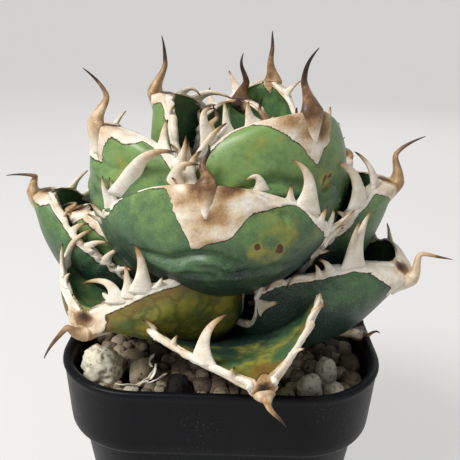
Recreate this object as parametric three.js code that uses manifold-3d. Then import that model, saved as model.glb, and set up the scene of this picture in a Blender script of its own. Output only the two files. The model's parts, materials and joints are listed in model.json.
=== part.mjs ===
// A compact agave in a square nursery pot, in millimetres, +Z up.
// The origin is the centre of the pot's underside. The pot's front wall faces -Y.
// The plant is a rosette: one stem with its roots, and leaves that each end in a hard spine.
import * as THREE from "three";
import { mergeVertices } from "three/addons/utils/BufferGeometryUtils.js";
import Module from "manifold-3d";

const wasm = await Module();
wasm.setup();

// ---- Driving dimensions ----

// Pot: a square tapered shell with rounded corners, a rim band and a rolled lip.
const POT_HEIGHT = 95;
const POT_TOP_HALF = 52.5;
const POT_FOOT_HALF = 38.5;
const POT_CORNER_RADIUS = 27;
const POT_FOOT_CORNER_RADIUS = 19;
const RIM_BAND_HEIGHT = 23;
const RIM_BAND_STEP = 2.8;
const RIM_BAND_SLOPE = 1.6;
const LIP_THICKNESS = 2.6;
const LIP_HEIGHT = 3;
const WALL = 1.4;
const FLOOR = 1.8;
const EDGE_BREAK = 0.9;
const DRAIN_HOLE_RADIUS = 4.5;
const DRAIN_HOLE_INSET = 15;
const DRAIN_HOLE_SIDES = 12;
const CORNER_STEPS = 5;

// Potting mix: fills the pot to a little below the lip.
const MIX_DROP = 13;
const MIX_BUMP = 0.9;
const MIX_RING_SHARES = [0.8, 0.55, 0.3];
const MIX_RING_ROUNDING = 0.6;
const FIT_GAP = 0.35;

// Stem and roots.
const STEM_RADIUS = 9;
const STEM_FOOT_RADIUS = 5.4;
const STEM_TIP_RADIUS = 4;
const STEM_ABOVE_MIX = 52;
const STEM_BELOW_MIX = 18;
const STEM_STRAIGHT_SHARE = 0.5;
const STEM_SIDES = 12;
const ROOT_COUNT = 5;
const ROOT_RADIUS = 1.8;
const ROOT_REACH = 25;
const ROOT_DEPTH = 46;
const ROOT_STEPS = 6;
const ROOT_SIDES = 6;
const ROOT_FIRST_ANGLE = 0.5;
const ROOT_SWING = 0.35;
const ROOT_TAPER = 0.65;

// Leaves: how finely each one is stepped, how deep it starts in the stem, and its edge and spine.
const LEAF_STATIONS = 9;
const STATION_CROWDING = 1.6;
const LEAF_ACROSS = 4;
const SPINE_STATIONS = 3;
const LEAF_FOOT_DEPTH = 2;
const LEAF_EDGE = 0.7;
const OUTER_SHARE = 0.7;
const THINNING_WIDTH = 8;
const CUP_AT_FOOT = 0.55;
const CUP_LOST_AT_TIP = 0.3;
const SPINE_RADIUS = 3.2;
const SPINE_TIP_RADIUS = 0.25;
const SPINE_HOLLOW = 1.4;

// The tight bud of unopened leaves on top of the stem.
const BUD_HEIGHT = 38;
const BUD_RADIUS = 5.2;
const BUD_NECK_SHARE = 0.75;
const BUD_SIDES = 10;

// Top dressing.
const STONE_DENT = 0.16;
const DRIED_MARGIN_RADIUS = 0.6;
const DRIED_MARGIN_STEPS = 10;

const MIX_TOP = POT_HEIGHT - MIX_DROP;

// Each leaf, from the lowest and oldest to the innermost. Angles are in degrees.
// facing: the way it points in plan, from +X towards +Y. seat: its height on the stem above the mix.
// reach, rise, sway: its tip's distance out, height above the mix, and offset to one side.
// leaving, arriving: the midrib's slope at the stem and at the tip. bulge: how far it bows out.
// halfWidth, cup, roll: half its flat width, the half angle it curls through, its turn about the midrib.
// widest, shoulder, blunt: where it is widest, and how square its outline is towards the tip.
const PLAIN_LEAF = {
  sway: 0,
  bulge: 0.42,
  hook: 0.42,
  roll: 0,
  widest: 0.55,
  neck: 0.3,
  shoulder: 2.6,
  blunt: 2.2,
  thickness: 4.6,
};
const LEAVES = [
  { facing: -79, seat: 11, reach: 64, rise: 23, leaving: 6, arriving: -8, halfWidth: 30, cup: 48,
    roll: 10, widest: 0.6, neck: 0.4, shoulder: 1.3, blunt: 1.15, thickness: 3.2,
    spine: { length: 13, lift: -35, turn: 28 } },
  { facing: 62, seat: 13, reach: 61, rise: 27, leaving: 2, arriving: 15, halfWidth: 32, cup: 60,
    spine: { length: 16, lift: 0, turn: 0 } },
  { facing: 146, seat: 13, reach: 60, rise: 29, leaving: 2, arriving: 20, halfWidth: 31, cup: 62,
    spine: { length: 16, lift: 5, turn: 0 } },
  { facing: -122, seat: 14, reach: 56, rise: 31, sway: -15, leaving: -8, arriving: 18,
    halfWidth: 35, cup: 92, roll: 5, spine: { length: 20, lift: -45, turn: -40 } },
  { facing: -30, seat: 15, reach: 60, rise: 41, sway: 16, leaving: -16, arriving: 55,
    halfWidth: 39, cup: 74, roll: -6, bulge: 0.55, hook: 0.42,
    spine: { length: 19, lift: 12, turn: 25 } },
  { facing: -165, seat: 16, reach: 48, rise: 27, leaving: 2, arriving: 25, halfWidth: 23, cup: 70,
    roll: -6, spine: { length: 6, lift: 20, turn: 0 } },
  { facing: 104, seat: 18, reach: 59, rise: 52, leaving: -2, arriving: 60, halfWidth: 31, cup: 66,
    spine: { length: 17, lift: 30, turn: 0 } },
  { facing: 26, seat: 18, reach: 60, rise: 47, leaving: -2, arriving: 55, halfWidth: 28, cup: 70,
    spine: { length: 10, lift: 60, turn: 0 } },
  { facing: 184, seat: 21, reach: 62, rise: 61, leaving: 0, arriving: 88, halfWidth: 26, cup: 75,
    bulge: 0.5, hook: 0.5, spine: { length: 16, lift: 20, turn: 0 } },
  { facing: -2, seat: 24, reach: 54, rise: 68, leaving: 0, arriving: 82, halfWidth: 27, cup: 72,
    bulge: 0.48, hook: 0.4, shoulder: 3, blunt: 2.6, spine: { length: 22, lift: 50, turn: 0 } },
  { facing: 68, seat: 25, reach: 50, rise: 67, leaving: 0, arriving: 85, halfWidth: 32, cup: 68,
    spine: { length: 18, lift: 60, turn: 0 } },
  { facing: -167, seat: 26, reach: 50, rise: 57, leaving: 0, arriving: 75, halfWidth: 18, cup: 65,
    spine: { length: 7, lift: 10, turn: 0 } },
  { facing: 152, seat: 28, reach: 51, rise: 70, leaving: 0, arriving: 90, halfWidth: 29, cup: 70,
    spine: { length: 10, lift: 75, turn: 0 } },
  { facing: -96, seat: 32, reach: 43, rise: 75, leaving: 10, arriving: 108, halfWidth: 38.5, cup: 50,
    bulge: 0.52, hook: 0.5, shoulder: 3.1, blunt: 2.6, spine: { length: 13, lift: 85, turn: 0 } },
  { facing: 20, seat: 33, reach: 43, rise: 72, leaving: 0, arriving: 90, halfWidth: 25, cup: 72,
    spine: { length: 8, lift: 70, turn: 0 } },
  { facing: -150, seat: 34, reach: 41, rise: 87, leaving: 0, arriving: 100, halfWidth: 38, cup: 66,
    bulge: 0.6, hook: 0.5, shoulder: 3.4, blunt: 2.8, spine: { length: 21, lift: 65, turn: 0 } },
  { facing: 108, seat: 36, reach: 39, rise: 79, leaving: 0, arriving: 92, halfWidth: 28, cup: 70,
    spine: { length: 12, lift: 80, turn: 0 } },
  { facing: -51, seat: 37, reach: 34, rise: 93, leaving: 0, arriving: 108, halfWidth: 39, cup: 66,
    bulge: 0.58, hook: 0.5, shoulder: 3.4, blunt: 2.8, spine: { length: 22, lift: 74, turn: 0 } },
  { facing: 60, seat: 40, reach: 29, rise: 97, leaving: 5, arriving: 88, halfWidth: 26, cup: 65,
    shoulder: 2, blunt: 1.6, spine: { length: 20, lift: 85, turn: 0 } },
  { facing: 166, seat: 43, reach: 22, rise: 94, leaving: 15, arriving: 95, halfWidth: 24, cup: 72,
    shoulder: 3, thickness: 3.6, spine: { length: 21, lift: 85, turn: 0 } },
  { facing: 78, seat: 45, reach: 19, rise: 91, leaving: 30, arriving: 90, halfWidth: 17, cup: 65,
    thickness: 3.4, spine: { length: 18, lift: 85, turn: 0 } },
  { facing: -20, seat: 46, reach: 11, rise: 86, leaving: 50, arriving: 95, halfWidth: 12, cup: 65,
    thickness: 3, spine: { length: 10, lift: 85, turn: 0 } },
  { facing: -130, seat: 47, reach: 7, rise: 84, leaving: 65, arriving: 95, halfWidth: 9, cup: 60,
    thickness: 3, spine: { length: 9, lift: 85, turn: 0 } },
];

// A withered lower leaf, thin and nearly flat, under the right-hand leaves. Its tip clears the lip.
const DRIED_LEAF_CLEARANCE = 1.5;
const DRIED_LEAF = { facing: -14, seat: 4, reach: 52, rise: MIX_DROP + DRIED_LEAF_CLEARANCE,
  leaving: 0, arriving: 2,
  halfWidth: 9, cup: 45, neck: 0.5, thickness: 1.6, spine: { length: 7, lift: 0, turn: 0 } };

// A dried margin strip that came off a leaf: it lies from the pot's front lip back over the gravel.
// Each point gives x, the distance behind the inside of the pot's front wall, and the height above the lip.
const DRIED_MARGIN_ROUTE = [
  [-31.5, 0, 1.1],
  [-28.5, 3.1, -0.8],
  [-25.5, 6.7, -2.6],
  [-23, 10.7, -3.4],
  [-21.8, 15.2, -3.6],
  [-21.6, 19.7, -3.2],
];

// Half width of the pot's inside, at the top of the mix, for which the stones, the withered leaf and the
// strip are laid out here. They are laid closer together or further apart to suit another pot.
const LAID_OUT_HALF = 50.2;

// Stones of the top dressing: x, y, and half sizes along X, Y and Z.
const STONES = [
  { name: "stone_lump", at: [-39.5, -30], half: [7.2, 7.4, 6.8], colour: 0xc3c2b0 },
  { name: "stone_01", at: [-31, -20], half: [4.6, 4.2, 3.6], colour: 0x8d8c82 },
  { name: "stone_02", at: [-27, -29.5], half: [3.9, 5.2, 5.2], colour: 0x86857a },
  { name: "stone_03", at: [-28.5, -39.5], half: [3.2, 3, 3.2], colour: 0xa3a48f },
  { name: "stone_04", at: [-14, -36.5], half: [4.6, 5, 4.2], colour: 0x2b2723 },
  { name: "stone_05", at: [-6, -42.5], half: [3, 3.4, 2.8], colour: 0x8f8778 },
  { name: "stone_06", at: [1, -42.5], half: [2.8, 3.2, 2.6], colour: 0x6d5546 },
  { name: "stone_07", at: [8, -43], half: [3.2, 3.2, 2.8], colour: 0x9a937f },
  { name: "stone_08", at: [21, -41], half: [3.6, 4.4, 3.8], colour: 0xa79d88 },
  { name: "stone_09", at: [29.2, -37.5], half: [4, 4.8, 5.2], colour: 0xcfc6a8 },
  { name: "stone_10", at: [37.6, -36.6], half: [3.9, 3.7, 3.7], colour: 0xd8cfae },
  { name: "stone_11", at: [35.8, -27], half: [4, 4.9, 5.3], colour: 0xc5bfae },
  { name: "stone_12", at: [44.6, -28.6], half: [3.7, 4.6, 3.2], colour: 0x9a7f4c },
  { name: "stone_13", at: [44.8, -19.2], half: [4.2, 4, 4], colour: 0xa59884 },
  { name: "stone_14", at: [36.4, -17], half: [3.4, 3.8, 4], colour: 0x8f887b },
  { name: "stone_15", at: [45, -9.8], half: [3.2, 3.6, 3.4], colour: 0x958b7c },
  { name: "stone_16", at: [-45.4, -17], half: [3.2, 4.4, 3.8], colour: 0xb1ad9c },
  { name: "stone_17", at: [-44, -3], half: [4.2, 5.2, 4.2], colour: 0xa8a18c },
  { name: "stone_18", at: [-42, 12], half: [4.6, 4.8, 4], colour: 0xbdb59c },
  { name: "stone_19", at: [-38, 29], half: [5.2, 5, 4.4], colour: 0xc4bca2 },
  { name: "stone_20", at: [-22, 41], half: [5, 4.4, 4], colour: 0x9d907a },
  { name: "stone_21", at: [-5, 42], half: [4.8, 4.2, 3.8], colour: 0xb9b098 },
  { name: "stone_22", at: [13, 42], half: [5.2, 4.2, 4], colour: 0x8e8371 },
  { name: "stone_23", at: [30, 37], half: [5, 5, 4.6], colour: 0xc9c1a6 },
  { name: "stone_24", at: [42, 22], half: [4.4, 4.8, 4.2], colour: 0xa89d86 },
];

// ---- Shared shape functions ----

// Closes a stack of rings of equal length into one skin, with a fan over each end.
function skinOfRings(rings) {
  const count = rings[0].length;
  const points = rings.flat();
  const faces = [];
  for (let k = 0; k + 1 < rings.length; k++) {
    for (let i = 0; i < count; i++) {
      const next = (i + 1) % count;
      const a = k * count + i;
      const b = k * count + next;
      faces.push(a, b, b + count, a, b + count, a + count);
    }
  }
  const middleOf = (ring) =>
    ring.reduce((sum, p) => sum.add(p), new THREE.Vector3()).divideScalar(count);
  const first = points.push(middleOf(rings[0])) - 1;
  const last = points.push(middleOf(rings[rings.length - 1])) - 1;
  const start = (rings.length - 1) * count;
  for (let i = 0; i < count; i++) {
    const next = (i + 1) % count;
    faces.push(first, next, i, last, start + i, start + next);
  }
  const geometry = new THREE.BufferGeometry().setFromPoints(points);
  geometry.setIndex(faces);
  return geometry;
}

// A closed geometry as a solid that can be cut and joined.
function solidOf(geometry) {
  const bare = geometry.clone();
  bare.deleteAttribute("normal");
  bare.deleteAttribute("uv");
  const merged = mergeVertices(bare, 1e-4);
  return new wasm.Manifold(
    new wasm.Mesh({
      numProp: 3,
      vertProperties: new Float32Array(merged.attributes.position.array),
      triVerts: new Uint32Array(merged.index.array),
    }),
  );
}

// A solid as a three.js geometry.
function geometryOf(solid) {
  const mesh = solid.getMesh();
  const geometry = new THREE.BufferGeometry();
  geometry.setAttribute("position", new THREE.BufferAttribute(mesh.vertProperties, 3));
  geometry.setIndex(new THREE.BufferAttribute(mesh.triVerts, 1));
  geometry.computeVertexNormals();
  return geometry;
}

function smoothStep(from, to, x) {
  const s = THREE.MathUtils.clamp((x - from) / (to - from), 0, 1);
  return s * s * (3 - 2 * s);
}

// A repeatable value from 0 to 1 for each whole number.
function scatter(seed) {
  const wave = Math.sin(seed * 12.9898) * 43758.5453;
  return wave - Math.floor(wave);
}

// ---- Pot ----

// A square ring with rounded corners, counterclockwise seen from above.
function roundedSquare(half, radius, z) {
  const ring = [];
  for (let corner = 0; corner < 4; corner++) {
    const turn = (corner * Math.PI) / 2;
    const out = half - radius;
    const cx = out * Math.SQRT2 * Math.cos(turn + Math.PI / 4);
    const cy = out * Math.SQRT2 * Math.sin(turn + Math.PI / 4);
    for (let step = 0; step <= CORNER_STEPS; step++) {
      const angle = turn + (step / CORNER_STEPS) * (Math.PI / 2);
      ring.push(
        new THREE.Vector3(cx + radius * Math.cos(angle), cy + radius * Math.sin(angle), z),
      );
    }
  }
  return ring;
}

const BAND_BOTTOM = POT_HEIGHT - RIM_BAND_HEIGHT;
const BAND_BOTTOM_HALF = POT_TOP_HALF - RIM_BAND_SLOPE;
const WALL_TOP_HALF = BAND_BOTTOM_HALF - RIM_BAND_STEP;

// Half width of the pot's outside at a height, below the lip's rounding.
function potHalf(z) {
  if (z >= BAND_BOTTOM) {
    const share = (z - BAND_BOTTOM) / RIM_BAND_HEIGHT;
    return BAND_BOTTOM_HALF + share * RIM_BAND_SLOPE;
  }
  return POT_FOOT_HALF + (z / BAND_BOTTOM) * (WALL_TOP_HALF - POT_FOOT_HALF);
}

// Corner radius of the pot's outside at a height.
function potCorner(z) {
  return THREE.MathUtils.lerp(POT_FOOT_CORNER_RADIUS, POT_CORNER_RADIUS, z / POT_HEIGHT);
}

// Everything that lies on the mix is spread and sized by this share.
const BED_SHARE = (potHalf(MIX_TOP) - WALL) / LAID_OUT_HALF;

// Distance from the pot's axis forwards to the inside of its front wall, at x and at the top of the mix.
function insideFront(x) {
  const half = potHalf(MIX_TOP) - WALL;
  const corner = potCorner(MIX_TOP) - WALL;
  const pastStraight = Math.max(Math.abs(x) - (half - corner), 0);
  return half - corner + Math.sqrt(corner ** 2 - pastStraight ** 2);
}

// One ring of the pot's outside at a height, moved inwards by a distance.
function potRing(z, inwards, atHeight = z) {
  return roundedSquare(potHalf(atHeight) - inwards, potCorner(atHeight) - inwards, z);
}

function potSolid() {
  const outside = skinOfRings([
    potRing(0, EDGE_BREAK),
    potRing(EDGE_BREAK, 0),
    potRing(BAND_BOTTOM - EDGE_BREAK, 0),
    potRing(BAND_BOTTOM, 0),
    potRing(POT_HEIGHT - EDGE_BREAK, 0),
    potRing(POT_HEIGHT, EDGE_BREAK),
  ]);
  const above = 5;
  const inside = skinOfRings([
    potRing(FLOOR, WALL),
    potRing(BAND_BOTTOM - EDGE_BREAK, WALL),
    potRing(BAND_BOTTOM + RIM_BAND_STEP, WALL),
    potRing(POT_HEIGHT - LIP_HEIGHT - LIP_THICKNESS, WALL),
    potRing(POT_HEIGHT - LIP_HEIGHT, LIP_THICKNESS),
    potRing(POT_HEIGHT, LIP_THICKNESS),
    potRing(POT_HEIGHT + above, LIP_THICKNESS, POT_HEIGHT),
  ]);
  let pot = solidOf(outside).subtract(solidOf(inside));
  const holeAt = POT_FOOT_HALF - DRAIN_HOLE_INSET;
  for (const [sx, sy] of [[1, 1], [-1, 1], [-1, -1], [1, -1]]) {
    const hole = new THREE.CylinderGeometry(
      DRAIN_HOLE_RADIUS,
      DRAIN_HOLE_RADIUS,
      4 * FLOOR,
      DRAIN_HOLE_SIDES,
    );
    hole.rotateX(Math.PI / 2);
    hole.translate(sx * holeAt, sy * holeAt, FLOOR / 2);
    pot = pot.subtract(solidOf(hole));
  }
  return pot;
}

// ---- Stem and roots ----

// The stem with its main roots. Skin is added all over, for the hollows that hold it.
function stemSolid(skin) {
  const bottom = MIX_TOP - STEM_BELOW_MIX;
  const top = MIX_TOP + STEM_ABOVE_MIX;
  const profile = [
    new THREE.Vector2(0, bottom - skin),
    new THREE.Vector2(STEM_FOOT_RADIUS + skin, bottom - skin),
    new THREE.Vector2(STEM_RADIUS + skin, bottom + STEM_RADIUS),
    new THREE.Vector2(STEM_RADIUS + skin, MIX_TOP + STEM_ABOVE_MIX * STEM_STRAIGHT_SHARE),
    new THREE.Vector2(STEM_TIP_RADIUS + skin, top + skin),
    new THREE.Vector2(0, top + skin),
  ];
  const lathe = new THREE.LatheGeometry(profile, STEM_SIDES);
  lathe.rotateX(Math.PI / 2);
  return solidOf(lathe);
}

// One root: a tapering tube from inside the stem's foot, outwards and down.
function rootSolid(index, skin) {
  const angle = (index / ROOT_COUNT) * 2 * Math.PI + ROOT_FIRST_ANGLE;
  const drop = ROOT_DEPTH * (0.75 + 0.25 * scatter(index + 1));
  const from = MIX_TOP - STEM_BELOW_MIX + STEM_FOOT_RADIUS;
  const rings = [];
  for (let k = 0; k <= ROOT_STEPS; k++) {
    const s = k / ROOT_STEPS;
    const out = STEM_RADIUS / 2 + ROOT_REACH * Math.sqrt(s) * (1 - 0.25 * s);
    const swing = angle + ROOT_SWING * Math.sin(3 * s + index);
    const radius = ROOT_RADIUS * (1 - ROOT_TAPER * s) + skin;
    const centre = new THREE.Vector3(
      out * Math.cos(swing),
      out * Math.sin(swing),
      from - drop * s * s,
    );
    const ring = [];
    for (let i = 0; i < ROOT_SIDES; i++) {
      const a = (i / ROOT_SIDES) * 2 * Math.PI;
      const flat = radius * Math.cos(a);
      ring.push(
        new THREE.Vector3(
          centre.x - flat * Math.sin(swing) + radius * Math.sin(a) * s * Math.cos(swing),
          centre.y + flat * Math.cos(swing) + radius * Math.sin(a) * s * Math.sin(swing),
          centre.z + radius * Math.sin(a) * (1.2 - s),
        ),
      );
    }
    rings.push(ring);
  }
  return solidOf(skinOfRings(rings));
}

function stemWithRoots(skin) {
  let solid = stemSolid(skin);
  for (let index = 0; index < ROOT_COUNT; index++) {
    solid = solid.add(rootSolid(index, skin));
  }
  return solid;
}

// ---- Leaves ----

// The stem's radius at a height above the mix.
function stemRadiusAt(height) {
  const past = Math.max(0, height / STEM_ABOVE_MIX - STEM_STRAIGHT_SHARE);
  return THREE.MathUtils.lerp(STEM_RADIUS, STEM_TIP_RADIUS, past / (1 - STEM_STRAIGHT_SHARE));
}

// The leaf's midrib: a bowed curve in the upright plane that it faces, swaying sideways.
function midribOf(leaf) {
  const facing = THREE.MathUtils.degToRad(leaf.facing);
  const out = new THREE.Vector3(Math.cos(facing), Math.sin(facing), 0);
  const across = new THREE.Vector3(-Math.sin(facing), Math.cos(facing), 0);
  const up = new THREE.Vector3(0, 0, 1);
  const leaving = THREE.MathUtils.degToRad(leaf.leaving);
  const arriving = THREE.MathUtils.degToRad(leaf.arriving);
  const foot = new THREE.Vector2(
    stemRadiusAt(leaf.seat) - LEAF_FOOT_DEPTH,
    MIX_TOP + leaf.seat,
  );
  const tip = new THREE.Vector2(leaf.reach, MIX_TOP + leaf.rise);
  const length = foot.distanceTo(tip);
  const bow = new THREE.CubicBezierCurve(
    foot,
    new THREE.Vector2(Math.cos(leaving), Math.sin(leaving))
      .multiplyScalar(leaf.bulge * length)
      .add(foot),
    new THREE.Vector2(-Math.cos(arriving), -Math.sin(arriving))
      .multiplyScalar(leaf.hook * length)
      .add(tip),
    tip,
  );
  return { bow, out, across, up };
}

// Half the leaf's flat width at a share of its length.
function halfWidthAt(leaf, t) {
  if (t < leaf.widest) {
    const grow = Math.sin((Math.PI / 2) * (t / leaf.widest));
    return leaf.halfWidth * (leaf.neck + (1 - leaf.neck) * grow);
  }
  const past = (t - leaf.widest) / (1 - leaf.widest);
  return leaf.halfWidth * (1 - past ** leaf.shoulder) ** (1 / leaf.blunt);
}

// A ring of points round the leaf: along its outer face, then back along its inner face.
function leafRing(centre, side, inner, width, cup, thickness, skin) {
  const ring = [];
  const bend = width / cup;
  const onFace = (u, depth) => {
    const angle = u * cup;
    const reach = bend + depth;
    return centre
      .clone()
      .addScaledVector(side, reach * Math.sin(angle))
      .addScaledVector(inner, bend - reach * Math.cos(angle));
  };
  for (let i = 0; i <= LEAF_ACROSS; i++) {
    const u = (2 * i) / LEAF_ACROSS - 1;
    const depth = LEAF_EDGE + OUTER_SHARE * thickness * (1 - u * u) + skin;
    ring.push(onFace(u * (1 + skin / width), depth));
  }
  for (let i = LEAF_ACROSS; i >= 0; i--) {
    const u = (2 * i) / LEAF_ACROSS - 1;
    const depth = LEAF_EDGE + (1 - OUTER_SHARE) * thickness * (1 - u * u) + skin;
    ring.push(onFace(u * (1 + skin / width), -depth));
  }
  return ring;
}

// A leaf with its spine as one closed skin. Skin is added all over, for trimming neighbours.
function leafSolid(entry, skin) {
  const leaf = { ...PLAIN_LEAF, ...entry };
  const { bow, out, across, up } = midribOf(leaf);
  const roll = THREE.MathUtils.degToRad(leaf.roll);
  const rings = [];
  const place = new THREE.Vector3();
  const along = new THREE.Vector3();
  for (let k = 0; k <= LEAF_STATIONS; k++) {
    const t = 1 - (1 - k / LEAF_STATIONS) ** STATION_CROWDING;
    const point = bow.getPoint(t);
    const slope = bow.getTangent(t);
    place
      .copy(out)
      .multiplyScalar(point.x)
      .addScaledVector(up, point.y)
      .addScaledVector(across, leaf.sway * t * t);
    along.copy(out).multiplyScalar(slope.x).addScaledVector(up, slope.y);
    const upright = new THREE.Vector3().crossVectors(along, across);
    const side = across.clone().multiplyScalar(Math.cos(roll));
    side.addScaledVector(upright, Math.sin(roll));
    const inner = upright.clone().multiplyScalar(Math.cos(roll));
    inner.addScaledVector(across, -Math.sin(roll));
    const width = Math.max(halfWidthAt(leaf, t), SPINE_RADIUS) + skin;
    const cup =
      THREE.MathUtils.degToRad(leaf.cup) *
      (CUP_AT_FOOT + (1 - CUP_AT_FOOT) * smoothStep(0, 0.5, t)) *
      (1 - CUP_LOST_AT_TIP * smoothStep(0.6, 1, t));
    const thickness = leaf.thickness * Math.min(1, width / THINNING_WIDTH);
    rings.push(leafRing(place, side, inner, width, cup, thickness, skin));
  }
  rings.push(...spineRings(leaf, place, along, { out, across, up }, skin));
  return solidOf(skinOfRings(rings));
}

// The spine: a tapering cone on a bent line that starts along the leaf and turns to its own lift.
function spineRings(leaf, tip, along, axes, skin) {
  const lift = THREE.MathUtils.degToRad(leaf.spine.lift);
  const turn = THREE.MathUtils.degToRad(leaf.spine.turn);
  const away = axes.out
    .clone()
    .multiplyScalar(Math.cos(lift) * Math.cos(turn))
    .addScaledVector(axes.across, Math.cos(lift) * Math.sin(turn))
    .addScaledVector(axes.up, Math.sin(lift));
  const rings = [];
  for (let k = 1; k <= SPINE_STATIONS; k++) {
    const s = k / SPINE_STATIONS;
    const centre = tip
      .clone()
      .addScaledVector(along, leaf.spine.length * 0.9 * (s - s * s))
      .addScaledVector(away, leaf.spine.length * (0.15 * s + 0.75 * s * s));
    const heading = along
      .clone()
      .multiplyScalar(0.9 * (1 - 2 * s))
      .addScaledVector(away, 0.15 + 1.5 * s)
      .normalize();
    const side = axes.across.clone().addScaledVector(heading, -axes.across.dot(heading));
    side.normalize();
    const inner = new THREE.Vector3().crossVectors(heading, side);
    const taper = (1 - s) ** SPINE_HOLLOW;
    const radius = SPINE_TIP_RADIUS + (SPINE_RADIUS - SPINE_TIP_RADIUS) * taper;
    rings.push(spineRing(centre, side, inner, radius + skin));
  }
  return rings;
}

// A round ring with its points in the same order as a leaf ring's.
function spineRing(centre, side, inner, radius) {
  const ring = [];
  const half = LEAF_ACROSS + 1;
  for (let i = 0; i < 2 * half; i++) {
    const angle = Math.PI * ((i + 0.5) / half);
    ring.push(
      centre
        .clone()
        .addScaledVector(side, -radius * Math.cos(angle))
        .addScaledVector(inner, -radius * Math.sin(angle)),
    );
  }
  return ring;
}

// The bud: a slim upright cone that swells a little above its foot. Skin is added all over.
function budSolid(skin) {
  const foot = MIX_TOP + STEM_ABOVE_MIX + FIT_GAP;
  const profile = [
    new THREE.Vector2(0, foot - skin),
    new THREE.Vector2(STEM_TIP_RADIUS + skin, foot - skin),
    new THREE.Vector2(BUD_RADIUS + skin, foot + BUD_HEIGHT * 0.3),
    new THREE.Vector2(BUD_RADIUS * BUD_NECK_SHARE + skin, foot + BUD_HEIGHT * 0.6),
    new THREE.Vector2(SPINE_TIP_RADIUS + skin, foot + BUD_HEIGHT + skin),
    new THREE.Vector2(0, foot + BUD_HEIGHT + skin),
  ];
  const lathe = new THREE.LatheGeometry(profile, BUD_SIDES);
  lathe.rotateX(Math.PI / 2);
  return solidOf(lathe);
}

// ---- Top dressing ----

// A stone: a ball of triangles pushed in and out, then stretched to its half sizes.
function stoneSolid(stone, index) {
  const ball = new THREE.IcosahedronGeometry(1, 1);
  ball.deleteAttribute("normal");
  ball.deleteAttribute("uv");
  const shape = mergeVertices(ball, 1e-3);
  const position = shape.attributes.position;
  const point = new THREE.Vector3();
  for (let i = 0; i < position.count; i++) {
    point.fromBufferAttribute(position, i);
    const push = 1 - STONE_DENT * scatter(index * 97 + i);
    position.setXYZ(
      i,
      point.x * stone.half[0] * push,
      point.y * stone.half[1] * push,
      point.z * stone.half[2] * push,
    );
  }
  shape.translate(stone.at[0], stone.at[1], stone.half[2]);
  shape.scale(BED_SHARE, BED_SHARE, BED_SHARE);
  shape.translate(0, 0, MIX_TOP + FIT_GAP);
  return solidOf(shape);
}

// The shed margin strip: a thin round tube along its route.
function driedMarginSolid() {
  const points = DRIED_MARGIN_ROUTE.map(([x, inwards, rise]) => {
    const across = x * BED_SHARE;
    const front = insideFront(across) - inwards * BED_SHARE;
    return new THREE.Vector3(across, -front, POT_HEIGHT + rise);
  });
  const route = new THREE.CatmullRomCurve3(points);
  const section = new THREE.Shape();
  section.absarc(0, 0, DRIED_MARGIN_RADIUS, 0, 2 * Math.PI);
  const tube = new THREE.ExtrudeGeometry(section, {
    steps: DRIED_MARGIN_STEPS,
    extrudePath: route,
    curveSegments: 3,
  });
  return solidOf(tube);
}

// ---- Potting mix ----

// The mix fills the pot up to its top, which is slightly uneven.
function mixBlock() {
  const shrink = WALL + FIT_GAP;
  const rings = [
    potRing(FLOOR + FIT_GAP, shrink),
    potRing(BAND_BOTTOM - EDGE_BREAK, shrink),
    potRing(BAND_BOTTOM + RIM_BAND_STEP, shrink),
    potRing(MIX_TOP, shrink),
  ];
  MIX_RING_SHARES.forEach((share, k) => {
    const half = (potHalf(MIX_TOP) - shrink) * share;
    const ring = roundedSquare(half, half * MIX_RING_ROUNDING, MIX_TOP);
    ring.forEach((p, i) => {
      p.z -= MIX_BUMP * scatter(31 * k + i);
    });
    rings.push(ring);
  });
  return solidOf(skinOfRings(rings));
}

// ---- Assembly ----

const potMaterial = new THREE.MeshStandardMaterial({
  color: 0x111216,
  roughness: 0.42,
  metalness: 0,
});
const mixMaterial = new THREE.MeshStandardMaterial({
  color: 0x3a3029,
  roughness: 0.95,
  metalness: 0,
});
const stemMaterial = new THREE.MeshStandardMaterial({
  color: 0xb9a98a,
  roughness: 0.85,
  metalness: 0,
});
const driedMaterial = new THREE.MeshStandardMaterial({
  color: 0x4d4034,
  roughness: 0.85,
  metalness: 0,
});
const stripMaterial = new THREE.MeshStandardMaterial({
  color: 0xd9cfbf,
  roughness: 0.8,
  metalness: 0,
});

// A leaf's green, a little different for each one.
function leafMaterial(index) {
  const colour = new THREE.Color().setHSL(0.3 + 0.06 * scatter(index + 5), 0.28, 0.34);
  return new THREE.MeshStandardMaterial({ color: colour, roughness: 0.5, metalness: 0 });
}

function stoneMaterial(colour) {
  return new THREE.MeshStandardMaterial({ color: colour, roughness: 0.95, metalness: 0 });
}

const plant = new THREE.Group();

function addNode(name, solid, material) {
  const mesh = new THREE.Mesh(geometryOf(solid), material);
  mesh.name = name;
  plant.add(mesh);
}

// The largest body of a trimmed leaf: what its neighbours pinch off is dropped.
function mainBody(solid) {
  const bodies = solid.decompose();
  return bodies.reduce((largest, body) => (body.volume() > largest.volume() ? body : largest));
}

// Each leaf gives way to the stem and bud, and to the younger leaves that press on its inner face.
function addLeaves(coreCutter) {
  const cutters = LEAVES.map((leaf) => leafSolid(leaf, FIT_GAP));
  const solids = LEAVES.map((leaf, index) => {
    let solid = leafSolid(leaf, 0).subtract(coreCutter);
    for (let younger = index + 1; younger < LEAVES.length; younger++) {
      solid = solid.subtract(cutters[younger]);
    }
    return solid;
  });
  solids.forEach((solid, index) => {
    const name = `leaf_${String(index + 1).padStart(2, "0")}`;
    addNode(name, mainBody(solid), leafMaterial(index));
  });
  return cutters;
}

const stemCutter = stemWithRoots(FIT_GAP);
addNode("pot", potSolid(), potMaterial);
addNode("stem_with_roots", stemWithRoots(0), stemMaterial);
addNode("centre_bud", budSolid(0), leafMaterial(0));
const leafCutters = addLeaves(stemCutter.add(budSolid(FIT_GAP)));

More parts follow.
